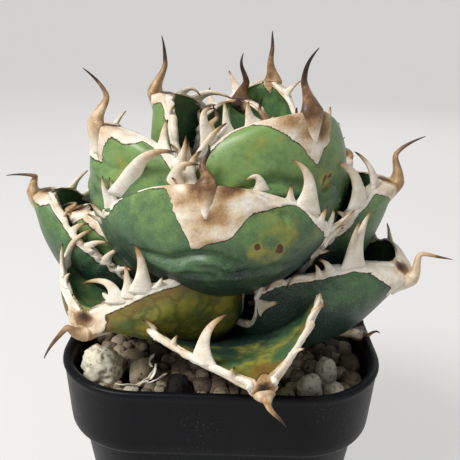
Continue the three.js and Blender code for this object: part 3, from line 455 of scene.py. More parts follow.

# Looks of each leaf, in the same order. Lengths here are in millimetres.
# cap: the lower edge of the corky cap on the leaf's back, as points (sideways, below the tip).
# margin: width of the corky strip. age: 0 is a green leaf and 1 a yellowing one. blush: yellow patches
# on a green leaf (share of the length, place across, size). shade: how dark its green is, partly the
# leaf's own tone and partly painted shade where a leaf lies in shadow.
# dark: how brown the spine is near its foot. kink: how far the spine's line wanders.
# teeth: side of the leaf, share of its length, then how far the tooth's bend and its tip stand from its
# foot, each as (across the leaf, out from the stem, up).
# dents: ridges that a neighbour pressed into the back while they were folded together in the bud:
# share of the length, place across, half span, sag at the ends, height.
# scars: share of the length, place across, size.
PLAIN_LOOKS = dict(
    cap=[(-10, 1), (-7, 5), (-2, 9), (3, 6.5), (9, 2)],
    age=0.1, blush=[], shade=0.5, dark=0.3, kink=0.6, teeth=None, dents=[], scars=[], margin=1.8,
)
LOOKS = [
    dict(  # 01, low at the front, channelled, yellowing
        cap=[(-15, 2), (-9, 4.5), (-4, 5), (1, 8), (6, 6), (12, 6), (16, 2)],
        age=0.85, shade=0.35, dark=0.0, kink=0.6, margin=1.8,
        teeth=[(-1, 0.85, (-1, 0, 12), (8, 0, 14.5)), (-1, 0.58, (1, 1, 3), (-3, 1, 5)),
               (-1, 0.72, (0, 1, 2), (2, 2, 4)), (-1, 0.93, (-1, 1, 2), (1, 2, 4)),
               (1, 0.78, (0, 0, 5), (4.5, 0, 5.5)), (1, 0.72, (1, 0, 3), (1, 0, 6)),
               (1, 0.90, (1, 0, 2), (3, 1, 2)), (1, 0.60, (2, 0, 4), (5, 0, 5))],
    ),
    dict(age=0.25, shade=0.6),
    dict(age=0.3, shade=0.5),
    dict(  # 04, low at the left front, marbled olive and yellow
        cap=[(-6, 1), (-2, 1.2), (1, 1.5), (4, 1), (8, 0.3)],
        age=0.78, shade=0.2, dark=0.1, kink=1.0, margin=1.2,
        teeth=[(1, 0.98, (-1, 0, 9), (-12, 3, 3)), (1, 0.945, (2.5, 0.5, 12), (-2.5, 1.5, 14.5)),
               (1, 0.966, (0, 0, 5), (-1.5, 0, 10)), (1, 0.86, (0.5, 0, 3), (3, -1, 4)),
               (1, 0.91, (1, 0, 2), (2, 1, 3)), (1, 0.76, (1, 1, 4), (8, 3, 2)),
               (-1, 0.90, (1, 0, 10), (12, -2, 13.5)), (-1, 0.94, (-1, 0, 5), (0.5, 0, 10)),
               (-1, 0.97, (0, 0, 3), (3, 0, 4)), (-1, 0.80, (0, -1, 4), (3, -3, 6)),
               (-1, 0.62, (-1, 0, 4), (-3, -2, 5))],
    ),
    dict(  # 05, low at the right front, dark green, with painted shade as it lies in shadow
        cap=[(-15, 1.2), (-10, 2), (-7, 3.5), (-4, 7.5), (-1, 7), (5, 6), (10, 3)],
        age=0.1, shade=1.5, dark=-0.25, kink=1.2, margin=1.4,
        teeth=[(-1, 0.952, (-1, 0, 9), (0.5, 2.5, 15.5)), (-1, 0.958, (0, 1, 14), (6, 3, 17)),
               (-1, 0.905, (-1, 0, 4.5), (-4, -2, 5)), (-1, 0.87, (0, 1, 2), (-3, 1, 5)),
               (-1, 0.83, (-4, -2, 3), (-9, -1, -1)), (-1, 0.72, (-2, 2, 4), (-10, 1, 1)),
               (-1, 0.50, (-1, 2, 4), (-6, 5, 6)), (-1, 0.35, (0, 4, 1), (-3, 9, 4)),
               (1, 0.93, (0, 0, 3), (2, -2, 6)), (1, 0.84, (0, 0, 3), (-3, 0, 5)),
               (1, 0.66, (2, 0, 3), (5, 0, 6)), (1, 0.45, (1, 0, 3), (5, 0, 4))],
    ),
    dict(age=0.5, shade=0.6, cap=[(-7, 1), (0, 6), (7, 1)]),
    dict(age=0.15, shade=0.6),
    dict(  # 08, right, behind
        age=0.15, shade=0.75,
        teeth=[(-1, 0.95, (0, 9, 3), (0, 8, 10)), (-1, 0.88, (1, 2, 1), (0, 5, 3)),
               (-1, 0.78, (1, 2, 1), (-1, 4, -1)), (-1, 0.66, (0, 1, 3), (-3, 0, 5)),
               (-1, 0.50, (0, 0, 3), (-4, 0, 4)), (1, 0.90, (0, 0, 3), (3, -1, 5)),
               (1, 0.75, (1, 0, 3), (4, 0, 6)), (1, 0.55, (1, 0, 3), (5, 0, 4))],
    ),
    dict(  # 09, far left
        cap=[(-12, 1.5), (-6, 1.2), (0, 1.0), (3, 1.6), (9, 2.2), (15, 1.6), (20, 1)],
        age=0.15, shade=0.9, dark=0.15, kink=1.4, margin=1.1,
        teeth=[(1, 0.93, (0, 0, 2), (1, -2, 3)), (1, 0.86, (0, 0, 4), (2, -5, 5)),
               (1, 0.76, (1, -2, 4), (2, -7, 3)), (1, 0.66, (0, 0, 3), (3, 2, 4)),
               (1, 0.54, (1, 0, 4), (2, -6, 6)), (1, 0.42, (1, -2, 2), (3, -5, 1)),
               (-1, 0.96, (0, -1, 4), (-3, -5, 7)), (-1, 0.90, (0, -2, 4), (-3, -8, 4)),
               (-1, 0.80, (0, 0, 4), (-3, 1, 6)), (-1, 0.62, (0, 0, 3), (-4, -1, 4))],
        scars=[(0.80, 0.25, 1.6)],
    ),
    dict(  # 10, far right, narrow seen from the front
        cap=[(-14, 2), (-9, 4), (-3, 5), (4, 6), (9, 3)],
        age=0.12, shade=0.8, dark=0.25, kink=0.5, margin=1.8,
        teeth=[(-1, 0.90, (-1, 1, 16), (-2, -12, 15)), (-1, 0.985, (0, -1, 8), (0, -7, 11.5)),
               (-1, 0.82, (-1, -1, 3), (-2, -4, 4)), (-1, 0.72, (-1, 0, 3), (-3, 3, 3)),
               (-1, 0.62, (-1, -1, 3), (-3, -5, 5)), (-1, 0.45, (-1, 0, 3), (-5, 0, 5)),
               (1, 0.94, (1, -1, 3), (1, -4, 4)), (1, 0.84, (0, 0, 3), (2, -3, 4)),
               (1, 0.72, (1, 0, 3), (3, 2, 5)), (1, 0.50, (1, 0, 3), (5, 0, 4))],
    ),
    dict(age=0.1, shade=0.55),
    dict(  # 12, narrow, at the left
        age=0.2, shade=0.6, cap=[(-6, 1), (0, 6), (6, 1)],
        teeth=[(1, 0.96, (0, -1, 5), (1, -8, 1)), (1, 0.90, (0, 1, 3), (1, 1, 5)),
               (1, 0.80, (1, 0, 3), (2, -6, 2)), (1, 0.68, (1, 0, 2), (2, -3, 4)),
               (1, 0.50, (1, 0, 3), (4, -2, 3)), (-1, 0.92, (0, 0, 4), (-2, -3, 5)),
               (-1, 0.75, (0, 0, 3), (-3, 0, 5)), (-1, 0.55, (0, 0, 3), (-4, 0, 3))],
    ),
    dict(age=0.15, shade=0.6, kink=0.8),
    dict(  # 14, the broad leaf in the middle of the front
        cap=[(-18, 0.3), (-13, 1.2), (-10.5, 1.8), (-9, 3.5), (-8.3, 7), (-6.4, 9.5), (-4.8, 12.5),
             (-4.3, 15.5), (-3.2, 16.5), (1, 14), (6.1, 13.2), (7, 11.5), (10.2, 7.5), (11.7, 5.8),
             (16, 4.6), (20.5, 3.5), (27, 2.5)],
        age=0.16, shade=0.72, dark=0.75, kink=1.2, margin=2.4,
        blush=[(0.84, 0.50, 22), (0.93, -0.93, 5)],
        teeth=[(-1, 0.942, (5, 9, 17.5), (17.5, 10, 16)),
               (-1, 0.994, (0, 4, 9), (8.5, 5, 7.5)), (-1, 0.87, (-2, 2, 5), (-1.5, 2, 10)),
               (-1, 0.905, (0, 1.5, 4), (-1, 2, 8)), (-1, 0.72, (-3, 1, 2), (-4, 2, 5)),
               (-1, 0.50, (-3, 2, 1), (-6, 3, 3)), (-1, 0.30, (-2, 2, 1), (-4, 4, 4)),
               (1, 0.985, (-0.5, 2, 8), (-5.5, 3, 4)), (1, 0.955, (0, 1, 3), (-0.7, 2, 6)),
               (1, 0.92, (2.5, 3, 13), (-6, 4, 15.5)), (1, 0.85, (1, 1, 2), (1.5, 2, 5.5)),
               (1, 0.64, (2, 1.5, 2), (7.5, 0, 7)), (1, 0.74, (2, 1, 4), (1, 2, 7)),
               (1, 0.48, (2, 2, 1), (5, 3, 5)), (1, 0.34, (2, 2, 0), (5, 3, 1))],
        dents=[(0.695, -0.02, 0.26, -0.05, 1.9), (0.655, -0.16, 0.42, -0.06, 1.2),
               (0.60, 0.2, 0.4, -0.05, 0.6), (0.84, 0.66, 0.10, 0.2, 1.2)],
        scars=[(0.775, 0.37, 1.5), (0.755, 0.54, 1.9), (0.735, 0.53, 1.9), (0.79, -0.16, 0.7),
               (0.77, 0.31, 0.7)],
    ),
    dict(age=0.1, shade=0.75),
    dict(  # 16, upper left
        cap=[(-14, 8), (-8, 9.5), (1, 9.5), (3.5, 9), (4.5, 5), (8, 2.5), (12, 3), (16, 1)],
        age=0.16, shade=0.5, dark=0.05, kink=0.3, margin=2.3, blush=[(0.9, 0.4, 9)],
        teeth=[(1, 0.965, (-1, 0, 7), (1, 0, 9.5)), (1, 0.925, (3, 0, 4), (3, 0, 10)),
               (1, 0.87, (-1, 0, 8), (4, -0.5, 11)), (1, 0.82, (3, 0, 3), (7, -1, 6)),
               (1, 0.72, (3, 0, 2), (7, -3, 5)), (1, 0.60, (3, 0, 0), (6, -4, 3)),
               (1, 0.45, (3, 1, 1), (6, 2, 4)), (-1, 0.97, (0, -1, 3), (-1, -4, 5)),
               (-1, 0.85, (0, -1, 4), (-3, -6, 4)), (-1, 0.72, (-1, 0, 3), (-5, 0, 5)),
               (-1, 0.50, (-1, 0, 3), (-5, 1, 4))],
        dents=[(0.845, 0.22, 0.42, 0.06, 1.2), (0.72, 0.1, 0.5, 0.06, 0.7)],
    ),
    dict(age=0.1, shade=0.5),
    dict(  # 18, the tall leaf at the right of the top
        cap=[(-17, 0.5), (-12, 2.5), (-9, 4.5), (-5, 7), (-2, 11), (0, 13.5), (3, 9.5), (6, 8),
             (7.5, 3), (9, 0.5)],
        age=0.2, shade=0.42, dark=0.75, kink=1.6, margin=2.4, blush=[(0.78, 0.12, 9), (0.9, -0.6, 9)],
        teeth=[(-1, 0.91, (0, 2, 6), (6.5, 4, 9.5)), (-1, 0.935, (-5, -1, 12), (1, 1, 11)),
               (-1, 0.965, (0, 0, 5), (0, 0, 10)), (-1, 0.988, (-2, 0, 5), (-1, 1, 7)),
               (-1, 0.86, (-3, 1, 4), (-2, 2, 9)), (-1, 0.78, (-3, 2, 2), (-6, 3, 5)),
               (-1, 0.66, (-3, 1, 3), (-7, 1, 3)), (-1, 0.45, (-3, 1, 2), (-5, 3, 5)),
               (1, 0.97, (1, 0, 3), (1, 0, 5)), (1, 0.90, (2, 0, 2), (4, -3, 5)),
               (1, 0.75, (2, 0, 3), (3, -4, 4)), (1, 0.60, (2, 1, 3), (6, 0, 5)),
               (1, 0.44, (2, 1, 1), (6, 2, 2))],
        dents=[(0.765, -0.36, 0.34, -0.05, 2.5), (0.715, -0.30, 0.34, -0.05, 2.0),
               (0.74, 0.18, 0.16, -0.1, 1.7), (0.62, -0.1, 0.5, -0.06, 0.7)],
        scars=[(0.775, 0.10, 2.2), (0.785, 0.17, 1.6), (0.93, -0.35, 0.9)],
    ),
    dict(  # 19, right of the top, behind
        cap=[(-7, 3), (-3, 8), (0, 6), (4, 3), (8, 1)], age=0.15, shade=0.3, dark=0.35, kink=0.5,
    ),
    dict(  # 20, left of the top
        cap=[(-8, 2), (-4, 4), (0, 6), (3, 5), (6, 3.5), (10, 1)],
        age=0.3, shade=0.3, dark=0.35, kink=1.0, margin=2.0, blush=[(0.88, 0.2, 5)],
        teeth=[(-1, 0.95, (0, -5, 6), (0, -13.5, 1.5)), (-1, 0.985, (0, -3, 5), (0, -6, 0)),
               (-1, 0.87, (0, -1, 5), (2, -5, 4)), (-1, 0.78, (1, -3, 1), (1, -6, 4)),
               (-1, 0.66, (1, -1, 3), (1, -5, 3)), (1, 0.93, (1, 0, 2), (2, -2, 4)),
               (1, 0.75, (1, 0, 2), (2, 3, 4)), (1, 0.60, (2, 0, 2), (5, 0, 4))],
    ),
    dict(age=0.1, shade=0.4, dark=0.85, kink=1.2),
    dict(age=0.05, shade=0.4),
    dict(age=0.05, shade=0.4),
]


def lattice_noise(points, size, seed):
    """Smooth random values from -1 to 1: each corner of a cubic lattice of this size has a random
    value, and a point blends its cell's eight corners by smooth steps along X, Y and Z."""
    scaled = points / size + seed * 7.31
    cell = np.floor(scaled).astype(np.int64)
    part = scaled - cell
    part = part * part * (3 - 2 * part)
    total = np.zeros(points.shape[:-1])
    for corner in range(8):
        offset = (corner >> np.arange(3)) & 1
        at = cell + offset
        mixed = (at[..., 0] * 73856093) ^ (at[..., 1] * 19349663) ^ (at[..., 2] * 83492791) ^ (seed * 9973)
        mixed = ((mixed ^ (mixed >> 13)) * 1274126177) & 0x7FFFFFFF
        value = ((mixed ^ (mixed >> 16)) & 0xFFFF) / 32767.5 - 1
        total += value * np.prod(np.where(offset, part, 1 - part), axis=-1)
    return total


def smooth_step(low, high, value):
    share = np.clip((value - low) / (high - low), 0, 1)
    return share * share * (3 - 2 * share)


def plan_axes(leaf):
    """The leaf's own directions in plan, one per row: across the leaf, out from the stem, and up."""
    facing = np.radians(leaf["facing"])
    return np.array([
        [-np.sin(facing), np.cos(facing), 0.0],
        [np.cos(facing), np.sin(facing), 0.0],
        [0.0, 0.0, 1.0],
    ])


def leaf_axes(leaf, t):
    """The leaf's middle line at shares t of its length, and its directions there: a cubic curve in the
    upright plane that it faces, swaying sideways with t squared, rolled about itself."""
    across, out, up = plan_axes(leaf)
    stem_radius = np.interp(leaf["seat"], [STEM_HEIGHT / 2, STEM_HEIGHT], [STEM_RADIUS, STEM_TIP_RADIUS])
    foot = np.array([stem_radius - FOOT_DEPTH, MIX_TOP + leaf["seat"]])
    tip = np.array([leaf["reach"], MIX_TOP + leaf["rise"]])
    length = np.linalg.norm(tip - foot)
    leaving, arriving, roll = (np.radians(leaf[k]) for k in ("leaving", "arriving", "roll"))
    first = foot + leaf["bulge"] * length * np.array([np.cos(leaving), np.sin(leaving)])
    second = tip - leaf["hook"] * length * np.array([np.cos(arriving), np.sin(arriving)])
    s = np.asarray(t)[..., None]
    point = (1 - s) ** 3 * foot + 3 * (1 - s) ** 2 * s * first + 3 * (1 - s) * s**2 * second + s**3 * tip
    slope = (1 - s) ** 2 * (first - foot) + 2 * (1 - s) * s * (second - first) + s**2 * (tip - second)
    slope = slope / np.linalg.norm(slope, axis=-1, keepdims=True)
    centre = point[..., :1] * out + point[..., 1:] * up + leaf["sway"] * s**2 * across
    along = slope[..., :1] * out + slope[..., 1:] * up
    upright = np.cross(along, across)
    side = across * np.cos(roll) + upright * np.sin(roll)
    inner = upright * np.cos(roll) - across * np.sin(roll)
    return centre, along, side, inner


def leaf_half_width(leaf, t):
    """Half the flat width: a quarter sine wave up to the widest place, then a blunt curve to the tip."""
    grow = leaf["neck"] + (1 - leaf["neck"]) * np.sin(np.pi / 2 * np.minimum(t / leaf["widest"], 1))
    past = np.clip((t - leaf["widest"]) / (1 - leaf["widest"]), 0, 1)
    fall = (1 - past ** leaf["shoulder"]) ** (1 / leaf["blunt"])
    return np.maximum(leaf["half_width"] * np.where(t < leaf["widest"], grow, fall), SPINE_RADIUS)


def laid_flat(leaf, t, u):
    """Where a point lies on the leaf unrolled: its distance along, its distance across, and 0."""
    return np.stack([t * leaf["length"], u * leaf_half_width(leaf, t), 0 * t], axis=-1)


def margin_swell(leaf, looks, t, side):
    """How far the margin stands out past the plain outline: a low bump under each tooth and a small wave."""
    length = leaf["length"]
    swell = 0.00035 * lattice_noise(np.stack([t * length, 0 * t + side, 0 * t], axis=-1), 0.004, leaf["seed"])
    for tooth_side, place, _, tip in looks["teeth"]:
        size = np.linalg.norm(tip) / 1000
        near = (t - place) * length / (0.0022 + 0.16 * size)
        swell = np.maximum(swell, (tooth_side == side) * (0.0004 + 0.09 * size) * np.exp(-(near**2)))
    return swell * smooth_step(0.0, 0.12, t) * (1 - smooth_step(0.97, 1.0, t))


def leaf_points(leaf, looks, t, u, depth):
    """The leaf at shares t along and u across, depth above its middle sheet:
    centre + side * (bend + depth) * sin(u * cup) + inner * (bend - (bend + depth) * cos(u * cup)),
    where bend = half width / cup."""
    centre, _, side, inner = leaf_axes(leaf, t)
    width = leaf_half_width(leaf, t)
    cup = np.radians(leaf["cup"]) * (CUP_AT_FOOT + (1 - CUP_AT_FOOT) * smooth_step(0, 0.5, t))
    cup = cup * (1 - CUP_LOST_AT_TIP * smooth_step(0.6, 1, t))
    bend = width / cup
    swell = margin_swell(leaf, looks, t, np.where(u < 0, -1, 1))
    angle = u * cup + np.sign(u) * smooth_step(0.55, 1, np.abs(u)) * swell / bend
    reach = bend + depth
    sideways, inwards = reach * np.sin(angle), bend - reach * np.cos(angle)
    return centre + side * sideways[..., None] + inner * inwards[..., None]


def leaf_depths(leaf, t, u):
    """How far the back and the inner face lie from the middle sheet: thickest along the midrib."""
    thickness = leaf["thickness"] * np.minimum(1, leaf_half_width(leaf, t) / THINNING_WIDTH)
    crown = 1 - np.clip(np.abs(u), 0, 1) ** 2
    swelling = 0.0011 * smooth_step(0.9, 1, t)
    return (
        LEAF_EDGE + OUTER_SHARE * thickness * crown + swelling,
        LEAF_EDGE + (1 - OUTER_SHARE) * thickness * crown + swelling,
    )


def cork_reach(leaf, looks, t, u):
    """Distance inside the corky margin or cap, in metres, negative on the green: the margin is a strip of
    uneven width that spreads under each tooth, and the cap hangs from the tip down to a ragged edge."""
    length = leaf["length"]
    width = leaf_half_width(leaf, t)
    where = laid_flat(leaf, t, u)
    coarse = lattice_noise(where, 0.0045, leaf["seed"] + 3)
    ragged = coarse + 0.5 * lattice_noise(where, 0.0019, leaf["seed"] + 4)
    side = np.where(u < 0, -1, 1)
    strip = looks["margin"] / 1000 * (0.75 + 0.45 * ragged) + 0.35 * margin_swell(leaf, looks, t, side)
    from_edge = (1 - np.abs(u)) * width
    sideways, below = np.array(looks["cap"]).T / 1000
    shield = np.interp(u * width, sideways, below, left=-0.002, right=-0.002) + 0.0007 * ragged
    return np.maximum(strip - from_edge, shield - (1 - t) * length)


def dent_height(leaf, looks, t, u):
    """Ridges left by the bud: each is a smooth line across the back with a groove on its tip side."""
    total = np.zeros(t.shape)
    where = laid_flat(leaf, t, u)
    for place, middle, span, sag, height in looks["dents"]:
        across = (u - middle) / span
        wander = 0.0012 * lattice_noise(where, 0.006, leaf["seed"] + 11)
        away = (t - place - sag * across**2) * leaf["length"] + wander
        fade = 1 - smooth_step(0.6, 1.15, np.abs(across))
        ridge = np.exp(-((away / 0.0016) ** 2)) - 0.9 * np.exp(-(((away - 0.0026) / 0.0016) ** 2))
        total += height / 1000 * fade * ridge
    return total


def leaf_body(leaf, looks):
    """The blade: rings of points across the back and then the inner face, closed at the foot and the tip.
    Returns points, faces and the numbers that the finish reads."""
    rows = 56 + int(leaf["length"] / 0.0012)
    half_count = 26 + int(leaf["half_width"] / 0.0011)
    t = 1 - (1 - np.linspace(0.0, 1, rows)) ** 1.7
    u = np.sin(np.linspace(-np.pi / 2, np.pi / 2, half_count))
    u = 0.75 * u + 0.25 * np.linspace(-1, 1, half_count)
    back = np.ones(half_count)
    t, u_ring = np.meshgrid(t, np.concatenate([u, u[::-1]]), indexing="ij")
    on_back = np.broadcast_to(np.concatenate([back, 0 * back]), t.shape)
    outer, inside = leaf_depths(leaf, t, u_ring)
    cork = cork_reach(leaf, looks, t, u_ring)
    off_edge = 1 - smooth_step(0.94, 1.0, np.abs(u_ring))
    inner_cork = cork - 0.0006 - 0.004 * smooth_step(0.6, 1.0, t) * off_edge
    cork = np.where(on_back > 0.5, cork, inner_cork)
    where = leaf_points(leaf, looks, t, u_ring, outer)
    skin = 0.00034 * smooth_step(-0.0001, 0.0006, cork)
    skin = skin + 0.00022 * smooth_step(0, 0.001, cork) * lattice_noise(where, 0.0016, leaf["seed"] + 5)
    billow = 0.0005 * lattice_noise(where, 0.013, leaf["seed"] + 6) * (1 - u_ring**2)
    outer = outer + skin + billow + dent_height(leaf, looks, t, u_ring)
    inside = inside + skin
    depth = np.where(on_back > 0.5, outer, -inside)
    rings = leaf_points(leaf, looks, t, u_ring, depth)
    points, faces = close_rings(rings)

    def stored(values, at_foot, at_tip):
        return np.concatenate([values.ravel(), [at_foot, at_tip]])

    numbers = {
        "cork": stored(cork * 1000, -5.0, 3.0),
        "run": stored(t, 0.0, 1.0),
        "across": stored(u_ring, 0.0, 0.0),
        "inner_face": stored(1 - on_back, 0.5, 0.5),
        "scar": stored(scar_depth(leaf, looks, t, u_ring) * on_back, 0.0, 0.0),
        "burn": stored(cap_burn(leaf, looks, t, u_ring), 0.0, 1.0),
        "age": stored(leaf_age(leaf, looks, t, u_ring), looks["age"], looks["age"]),
    }
    return points, faces, numbers


def scar_depth(leaf, looks, t, u):
    """1 in the middle of each corky scar, falling to 0 at its rim."""
    width = leaf_half_width(leaf, t)
    total = np.zeros(t.shape)
    for place, across, size in looks["scars"]:
        away = np.hypot((t - place) * leaf["length"] * 0.8, (u - across) * width)
        total = np.maximum(total, 1 - smooth_step(0.2, 1.0, away / size * 1000))
    return total


def leaf_age(leaf, looks, t, u):
    """The leaf's age, raised in soft round patches."""
    width = leaf_half_width(leaf, t)
    total = np.full(t.shape, looks["age"])
    for place, across, size in looks["blush"]:
        away = np.hypot((t - place) * leaf["length"], (u - across) * width) / size * 1000
        total = np.maximum(total, 0.60 * np.exp(-(away**2)))
    return total


def cap_burn(leaf, looks, t, u):
    """How brown the cap is: strongest at the foot of the spine, where the spine is dark."""
    width = leaf_half_width(leaf, t)
    dark = max(0.0, looks["dark"])
    away = np.hypot((1 - t) * leaf["length"] * 0.8, u * width) / (0.005 + 0.005 * dark)
    where = laid_flat(leaf, t, u)
    patchy = 0.6 + 0.7 * lattice_noise(where, 0.0035, leaf["seed"] + 8)
    return ((0.1 + 0.6 * dark) * np.exp(-(away**2)) + 0.22 * np.exp(-((away / 2.2) ** 2))) * patchy


def ellipse_rings(centre, first, second, wide, thick, count):
    """Rings round a path: centre + first * wide * cos(angle) + second * thick * sin(angle)."""
    angle = np.arange(count) / count * 2 * np.pi
    return (
        centre[:, None]
        + first[:, None] * (wide[:, None] * np.cos(angle))[..., None]
        + second[:, None] * (thick[:, None] * np.sin(angle))[..., None]
    )


def unit(vectors):
    return vectors / np.maximum(np.linalg.norm(vectors, axis=-1, keepdims=True), 1e-12)


def margin_frame(leaf, looks, t, side):
    """The margin's line at shares t, with the directions outwards along the blade and off its back."""
    edge = np.full(t.shape, float(side))
    line = leaf_points(leaf, looks, t, edge, 0 * t)
    inside = leaf_points(leaf, looks, t, edge * 0.97, 0 * t)
    raised = leaf_points(leaf, looks, t, edge, 0 * t + 0.001)
    outwards = unit(line - inside)
    off_back = unit(raised - line)
    along = unit(np.gradient(line, axis=0))
    return line, outwards, off_back, along


ROPE_WIDE = 0.00115
ROPE_THICK = 0.00105
ROPE_SIDES = 14


def margin_rope(leaf, looks, side):
    """The corky edge: an uneven oval carried along the margin, fatter where a tooth stands."""
    rows = 40 + int(leaf["length"] / 0.0007)
    t = 1 - (1 - np.linspace(0.03, 1, rows)) ** 1.5
    line, outwards, off_back, along = margin_frame(leaf, looks, t, side)
    lumps = lattice_noise(line, 0.0035, leaf["seed"] + 21)
    wander = lattice_noise(line, 0.0022, leaf["seed"] + 22)
    swell = margin_swell(leaf, looks, t, side)
    slim = 0.4 + 0.3 * looks["margin"]
    wide = ROPE_WIDE * slim * (1 + 0.45 * lumps + 0.2 * wander) + 0.22 * swell
    thick = ROPE_THICK * slim * (1 + 0.30 * wander) + 0.12 * swell
    centre = line + outwards * (0.0003 + 0.0007 * wander)[:, None] + off_back * (0.0004 * lumps)[:, None]
    rings = ellipse_rings(centre, outwards, off_back, wide, thick, ROPE_SIDES)
    brown = np.clip(0.07 + 0.16 * lumps, 0, 1)
    return rings, np.repeat(brown[:, None], ROPE_SIDES, axis=1)


TOOTH_ROWS = 24


def tooth(leaf, looks, side, place, middle, tip):
    """A hooked tooth: a flat shark-fin oval on the curve 2 s (1 - s) bend + s squared tip, whose flat side
    runs along the margin at the foot. The foot is broad and sits inside the blade's edge."""
    axes = plan_axes(leaf)
    bend, end = np.array(middle) / 1000 @ axes, np.array(tip) / 1000 @ axes
    size = np.linalg.norm(end)
    t = np.clip(np.array([place - 0.02, place, place + 0.02]), 0, 1)
    line, outwards, _, _ = (values[1] for values in margin_frame(leaf, looks, t, side))
    along = margin_frame(leaf, {**looks, "teeth": []}, t, side)[3][1]
    share = np.linspace(0, 1, TOOTH_ROWS)
    s = share[:, None]
    centre = line - outwards * 0.0012 * (1 - s) + 2 * s * (1 - s) * bend + s**2 * end
    heading = unit(np.gradient(centre, axis=0))
    level = unit(np.cross(along, 0.5 * end + bend))
    flat = unit(np.cross(level, heading))
    normal = np.cross(heading, flat)
    base = 0.0012 + 0.13 * size
    wide = base * (0.62 * (1 - share) ** 0.9 + 0.75 * (1 - share) ** 6) + 0.00014
    thick = (0.0006 + 0.035 * size) * (1 - share) ** 0.7 + 0.00012
    wide[-1], thick[-1] = 0.00003, 0.00003
    rings = ellipse_rings(centre, flat, normal, wide, thick, ROPE_SIDES)
    lumps = 0.00022 * lattice_noise(rings, 0.0018, leaf["seed"] + 31) * (1 - s)
    rings = rings + normal[:, None] * lumps[..., None]
    tanned = 0.22 + 0.5 * abs(np.sin(place * 37.0 + side))
    brown = 0.03 + tanned * share**2.2 + 0.35 * np.exp(-(((share - 1) / 0.12) ** 2))
    return rings, np.repeat(brown[:, None], ROPE_SIDES, axis=1)


SPINE_ROWS = 44
SPINE_SIDES = 28
KEEL_LENGTH = 0.0075


def terminal_spine(leaf, looks):
    """The spine: it starts as a flat keel inside the blade's tip, then follows the CAD's bent line,
    tip + along * 0.9 (s - s squared) + away * (0.15 s + 0.75 s squared), and thins on a hollow curve."""
    length, lift, turning = leaf["spine"]
    lift, turning = np.radians(lift), np.radians(turning)
    across, out, up = plan_axes(leaf)
    away = out * np.cos(lift) * np.cos(turning) + across * np.cos(lift) * np.sin(turning)
    away = away + up * np.sin(lift)
    root_t = np.linspace(1 - KEEL_LENGTH / leaf["length"], 1, 9)[:-1]
    root, _, _, root_inner = leaf_axes(leaf, root_t)
    back, _ = leaf_depths(leaf, root_t, 0 * root_t)
    root = root - root_inner * (0.95 * back)[:, None]
    tip, along, _, inner = leaf_axes(leaf, np.array([1.0]))
    s = np.linspace(0, 1, SPINE_ROWS)[:, None]
    bow = length * (along * 0.9 * (s - s**2) + away * (0.15 * s + 0.75 * s**2))
    swing = np.sin(2.3 * np.pi * s + leaf["seed"]) - np.sin(leaf["seed"])
    wander = looks["kink"] / 1000 * swing * np.minimum(1, 3 * s)
    wander = wander * (1 - 0.6 * s)
    start = tip - inner * (0.95 * back[-1]) * (1 - smooth_step(0, 0.5, s))
    centre = np.concatenate([root, start + bow + across * wander + inner * 0.6 * wander])
    heading = unit(np.gradient(centre, axis=0))
    flat = unit(across - heading * (heading @ across)[:, None])
    normal = np.cross(heading, flat)
    grow = np.linspace(0.0, 1, len(root))
    stout = 0.0015 + 0.066 * length
    share = s[:, 0]
    taper = 0.52 * (1 - share) ** 6 + 0.48 * (1 - share) ** 0.85
    radius = np.concatenate([stout * (0.35 + 0.65 * grow), stout * taper + 0.00012])
    radius[-1] = 0.00003
    squash = np.concatenate([1.3 + 0 * grow, 1.05 + 0.25 * np.exp(-((share / 0.16) ** 2))])
    angle = np.arange(SPINE_SIDES) / SPINE_SIDES * 2 * np.pi
    ridge = 0.16 * np.exp(-(((angle - 1.5 * np.pi) / 0.45) ** 2))
    furrow = 0.14 * np.exp(-(((angle - 0.5 * np.pi) / 0.5) ** 2))
    keel = 1 + ridge - furrow
    rings = (
        centre[:, None]
        + flat[:, None] * (radius * squash)[:, None, None] * (keel * np.cos(angle))[None, :, None]
        + normal[:, None] * (radius * 0.82)[:, None, None] * (keel * np.sin(angle))[None, :, None]
    )
    run = np.concatenate([-0.3 * (1 - grow), share])
    streak = 0.10 * lattice_noise(rings * np.array([1, 1, 0.25]), 0.0016, leaf["seed"] + 41)
    brown = 0.36 + 0.42 * looks["dark"] + 0.55 * smooth_step(0.35, 1.0, run)[:, None] + 1.3 * streak
    brown = brown * smooth_step(-0.30, 0.04, run)[:, None]
    return rings, np.clip(brown, 0, 1)


def usual_teeth(leaf):
    """Teeth for a leaf whose teeth aren't listed: spaced along both sides, from its own seed. Each rises
    and leans to its own side, and its bend lies off the straight line to its tip."""
    draw = np.random.default_rng(leaf["seed"])
    teeth = []
    for side in (-1, 1):
        for place in np.arange(0.28, 0.97, 0.0075 / leaf["length"]):
            size = (4.5 + 6.5 * draw.random() ** 1.5) * min(1, leaf["half_width"] / 0.022)
            lean, outwards = draw.uniform(0.0, 0.8), draw.uniform(-0.6, 0.5)
            tip = size * np.array([side * lean, outwards, 0.85])
            sideways = side * (0.5 * lean - draw.uniform(-0.3, 0.3))
            bend = size * np.array([sideways, draw.uniform(-0.4, 0.4), 0.5])
            teeth.append((side, place + 0.02 * draw.random(), bend, tip))
    return teeth


def joined(skins):
    """Several closed skins with their numbers as one list of points, faces and numbers."""
    points, faces, numbers, offset = [], [], {}, 0
    for skin_points, skin_faces, skin_numbers in skins:
        points.append(skin_points)
        faces += [[corner + offset for corner in face] for face in skin_faces]
        offset += len(skin_points)
        for name, values in skin_numbers.items():
            numbers.setdefault(name, []).append(values)
    return np.concatenate(points), faces, {name: np.concatenate(v) for name, v in numbers.items()}


def store(piece, numbers):
    """Keeps one number per point on the mesh under each name."""
    for name, values in numbers.items():
        layer = piece.data.attributes.new(name, "FLOAT", "POINT")
        layer.data.foreach_set("value", np.ascontiguousarray(values, dtype=np.float32))


